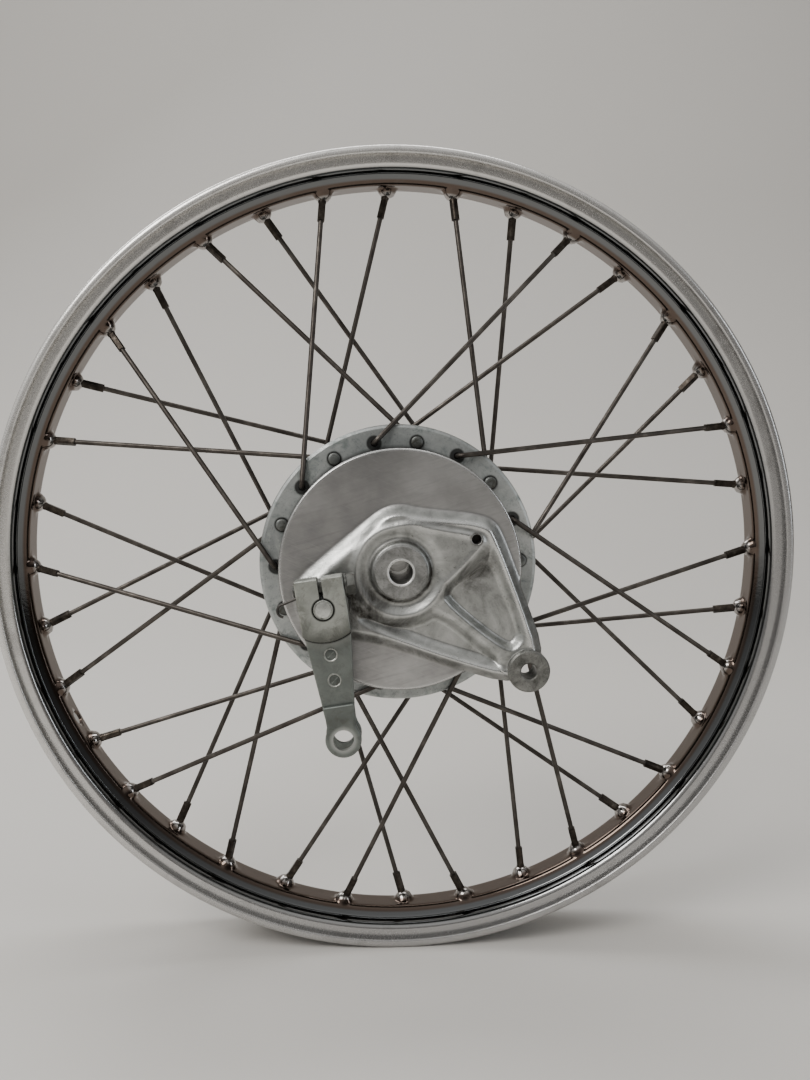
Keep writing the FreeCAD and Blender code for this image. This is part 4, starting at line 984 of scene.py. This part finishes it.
def make_rivets():
    """Flat rivet ends, each in a raised worn ring."""
    pieces = []
    for number, height in enumerate(RIVET_HEIGHTS, 1):
        end = [(0.02, RIVET_SEAT), (0.02, RIVET_SEAT + 0.5), (2.0, RIVET_SEAT + 0.45),
               (2.8, RIVET_SEAT + 0.26), (2.8, RIVET_SEAT)]
        ring = [(2.7, RIVET_SEAT), (2.75, RIVET_SEAT + 0.45), (3.1, RIVET_SEAT + 0.66),
                (3.45, RIVET_SEAT + 0.6), (3.75, RIVET_SEAT)]
        for name, profile, material in (("lever_rivet_%d", end, MATERIALS["lever_zinc"]),
                                        ("lever_rivet_rim_%d", ring, RIVET_RIM)):
            piece = lathe(name % number, profile, (0, height), 48)
            pieces.append((piece, "lever_rivets", material))
    return pieces


def make_shaft():
    """Shaft with a domed, grooved end."""
    profile = [(0.02, 57.0), (6.0, 57.0), (6.0, 83.2), (SHAFT_RADIUS, 83.4), (SHAFT_RADIUS, 95.4),
               (4.55, 95.7), (4.3, 95.3), (4.05, 95.35), (3.8, 95.85), (2.6, 96.1), (0.02, 96.2)]
    return lathe("cam_shaft_turned", profile)


def make_blade():
    """Flat cam between the ends of the shoes, square to the line through both pivots."""
    outline = [(-7.0, -2.1), (-5.6, -3.5), (5.6, -3.5), (7.0, -2.1), (7.0, 2.1), (5.6, 3.5),
               (-5.6, 3.5), (-7.0, 2.1)]
    blade = plate("cam_blade_flat", outline, 34.5, 58.4, 0.4)
    blade.data.transform(Matrix.Rotation(math.radians(LEVER_ANGLE - PIVOT_ANGLE), 4, "Y"))
    return blade


def add_lever():
    lever = [(make_lever_head(), "brake_lever", CLAMP_FACE)] + make_plates() + make_rivets()
    turned = [(make_shaft(), "brake_camshaft", SHAFT_FACE),
              (make_blade(), "brake_camshaft", MATERIALS["collar_steel"])]
    for pieces, slot in ((lever, "lever_zinc"), (turned, "collar_steel")):
        for piece, node, material in pieces:
            steady_normals(piece)
            place_on_lever(piece)
            dress(piece, material, "brake_cam", node)


def add_rim():
    dress(make_rim(), MATERIALS["rim_chrome"], "wheel", "rim")


def add_spoke_heads():
    """Worn domes on the spoke heads that show on each flange's outer face."""
    dome = [(3.25, -1.4), (3.25, 0.1), (2.9, 0.4), (2.0, 0.55), (1.1, 0.62), (0.02, 0.65), (0.02, -1.4)]
    for side, way in (("brake", 1), ("chain", -1)):
        profile = [(radius, HEAD_FACE[side] + rise * way) for radius, rise in dome]
        for step in range(SPOKES_IN_GROUP):
            centre = on_circle(SPOKE_CIRCLE, HEAD_START[side] + SPOKE_STEP * step)
            piece = lathe("spoke_head_%s_%d" % (side, step + 1), profile, centre, 24, 60)
            dress(piece, HEAD_METAL, "wheel")


# ---------------------------------------------------------------- stage, light and camera

# FOCAL_HEIGHTS is the focal length as a share of the picture's height.
CAMERA_PLACE = Vector((-18.1, -580.0, 62.1)) * MM
CAMERA_FORWARD = Vector((0.0401, 0.9951, -0.0907)).normalized()
CAMERA_UP = Vector((0.0088, 0.0904, 0.9959))
FOCAL_HEIGHTS = 1000.0 / 1080.0
SENSOR = 24.0


def add_camera():
    """Camera in front of the brake side, a little above the axle."""
    data = bpy.data.cameras.new("camera")
    data.sensor_fit = "VERTICAL"
    data.sensor_height = SENSOR
    data.lens = SENSOR * FOCAL_HEIGHTS
    data.clip_start = 0.01
    camera = bpy.data.objects.new("camera", data)
    back = -CAMERA_FORWARD
    right = CAMERA_UP.cross(back).normalized()
    up = back.cross(right)
    turn = Matrix((right, up, back)).transposed()
    camera.matrix_world = Matrix.Translation(CAMERA_PLACE) @ turn.to_4x4()
    bpy.context.collection.objects.link(camera)
    bpy.context.scene.camera = camera


def plain_material(name, colour, rough):
    """Matt paint with a very soft mottle."""
    s = Shader(name)
    soft = s.noise(3.0, 3.0, 0.5)
    darker = tuple(0.97 * c for c in colour)
    s.set(color=s.mix(soft, colour, darker), rough=rough)
    return s.material


def add_floor():
    """Pale floor that sweeps up far behind the wheel."""
    low = CAD_BOX[0][2]
    shape = bmesh.new()
    reach, bend, far, height, steps = 4.0, 0.9, 1.9, 4.0, 16
    profile = [(-reach, low), (far - bend, low)]
    for step in range(1, steps + 1):
        angle = math.pi / 2 * step / steps
        profile.append((far - bend + bend * math.sin(angle), low + bend * (1 - math.cos(angle))))
    profile.append((far, height))
    rows = [[shape.verts.new((x, y, z)) for y, z in profile] for x in (-reach, reach)]
    for left, right, a, b in zip(rows[0], rows[0][1:], rows[1], rows[1][1:]):
        shape.faces.new((left, a, b, right))
    floor = piece_from(shape, "floor")
    floor.data.polygons.foreach_set("use_smooth", [True] * len(floor.data.polygons))
    floor.data.materials.append(plain_material("floor_paint", (0.62, 0.60, 0.57), 0.75))


def add_area(name, place, target, size, power, colour=(1, 1, 1)):
    data = bpy.data.lights.new(name, "AREA")
    data.shape = "RECTANGLE"
    data.size, data.size_y = size
    data.energy = power
    data.color = colour
    light = bpy.data.objects.new(name, data)
    aim = (Vector(target) - Vector(place)).to_track_quat("-Z", "Y").to_matrix()
    light.matrix_world = Matrix.Translation(place) @ aim.to_4x4()
    bpy.context.collection.objects.link(light)


# Brightness of the studio's surroundings, from below to above.
SKY_STOPS = [(0.40, (0.05, 0.045, 0.04)), (0.60, (0.22, 0.215, 0.21)), (0.85, (1.0, 0.99, 0.97))]
SKY_LEAN, SKY_STRENGTH = -0.35, 0.75


def add_surroundings():
    """Soft gradient that is brightest above and to the left."""
    world = bpy.data.worlds.new("studio")
    bpy.context.scene.world = world
    world.use_nodes = True
    nodes, links = world.node_tree.nodes, world.node_tree.links
    parts = nodes.new("ShaderNodeSeparateXYZ")
    links.new(nodes.new("ShaderNodeTexCoord").outputs["Generated"], parts.inputs[0])
    lean = nodes.new("ShaderNodeMath")
    lean.operation = "MULTIPLY_ADD"
    lean.inputs[1].default_value = SKY_LEAN
    links.new(parts.outputs["X"], lean.inputs[0])
    links.new(parts.outputs["Z"], lean.inputs[2])
    span = nodes.new("ShaderNodeMapRange")
    span.inputs["From Min"].default_value = -1.0
    links.new(lean.outputs[0], span.inputs["Value"])
    ramp = nodes.new("ShaderNodeValToRGB")
    links.new(span.outputs["Result"], ramp.inputs["Fac"])
    ramp.color_ramp.elements.new(0.5)
    for element, (place, colour) in zip(ramp.color_ramp.elements, SKY_STOPS):
        element.position, element.color = place, (*colour, 1.0)
    links.new(ramp.outputs["Color"], nodes["Background"].inputs["Color"])
    nodes["Background"].inputs["Strength"].default_value = SKY_STRENGTH


def add_lights():
    add_area("key", (-1.2, -1.3, 1.5), (0, 0, 0), (1.2, 1.0), 32.0, (1.0, 0.98, 0.95))
    add_area("fill", (1.7, -0.9, 0.5), (0, 0, 0), (0.4, 1.1), 6.0, (0.90, 0.95, 1.0))
    add_area("top", (0.0, 0.5, 2.2), (0, 0.6, 0), (1.6, 0.6), 16.0)
    add_area("back_fill", (-0.9, 1.0, 1.3), (0, 0, 0), (0.8, 0.8), 9.0)


EYE_BACK, EYE_FRONT = 62.6, 79.0
COLLAR_BACK, COLLAR_FRONT, COLLAR_RADIUS = 59.6, 80.0, 12.0


def add_panel():
    """The casting and the machined rings that stand out of it."""
    boss = [(AXLE_BORE, BOSS_INNER_END), (AXLE_BORE, BOSS_DEPTH - 0.7), (AXLE_BORE + 0.7, BOSS_DEPTH),
            (BOSS_RADIUS - 0.8, BOSS_DEPTH), (BOSS_RADIUS, BOSS_DEPTH - 0.8),
            (BOSS_RADIUS, BOSS_DEPTH - 10.0), (BOSS_RADIUS, BOSS_INNER_END)]
    lip = [(AXLE_BORE, BOSS_DEPTH - 0.8), (AXLE_BORE, BOSS_DEPTH - 0.1),
           (AXLE_BORE + 0.5, BOSS_DEPTH + 0.3), (AXLE_BORE + 1.0, BOSS_DEPTH + 0.3),
           (AXLE_BORE + 1.25, BOSS_DEPTH - 0.1), (AXLE_BORE + 1.25, BOSS_DEPTH - 0.8)]
    eye = [(EYE_BORE, EYE_BACK), (EYE_BORE, EYE_FRONT - 0.6), (EYE_BORE + 0.6, EYE_FRONT),
           (EYE_BOSS_RADIUS - 0.9, EYE_FRONT), (EYE_BOSS_RADIUS, EYE_FRONT - 0.9),
           (EYE_BOSS_RADIUS, EYE_BACK)]
    collar = [(CAM_BORE, COLLAR_BACK), (CAM_BORE, COLLAR_FRONT - 0.4), (CAM_BORE + 0.35, COLLAR_FRONT),
              (COLLAR_RADIUS - 0.6, COLLAR_FRONT), (COLLAR_RADIUS, COLLAR_FRONT - 0.6),
              (COLLAR_RADIUS, COLLAR_BACK)]
    cast = MATERIALS["panel_cast"]
    for piece, material in ((make_panel(), cast),
                            (lathe("axle_boss_ring", boss), BOSS_FACE),
                            (lathe("axle_bore_lip", lip), BORE_LIP),
                            (lathe("torque_eye_boss", eye, EYE), EYE_FACE),
                            (lathe("cam_boss_collar", collar, CAM), cast)):
        dress(piece, material, "panel_assembly", "brake_panel")


dress_cad_nodes()
add_rim()
add_spoke_heads()
add_panel()
add_lever()
add_floor()
add_surroundings()
add_lights()
add_camera()
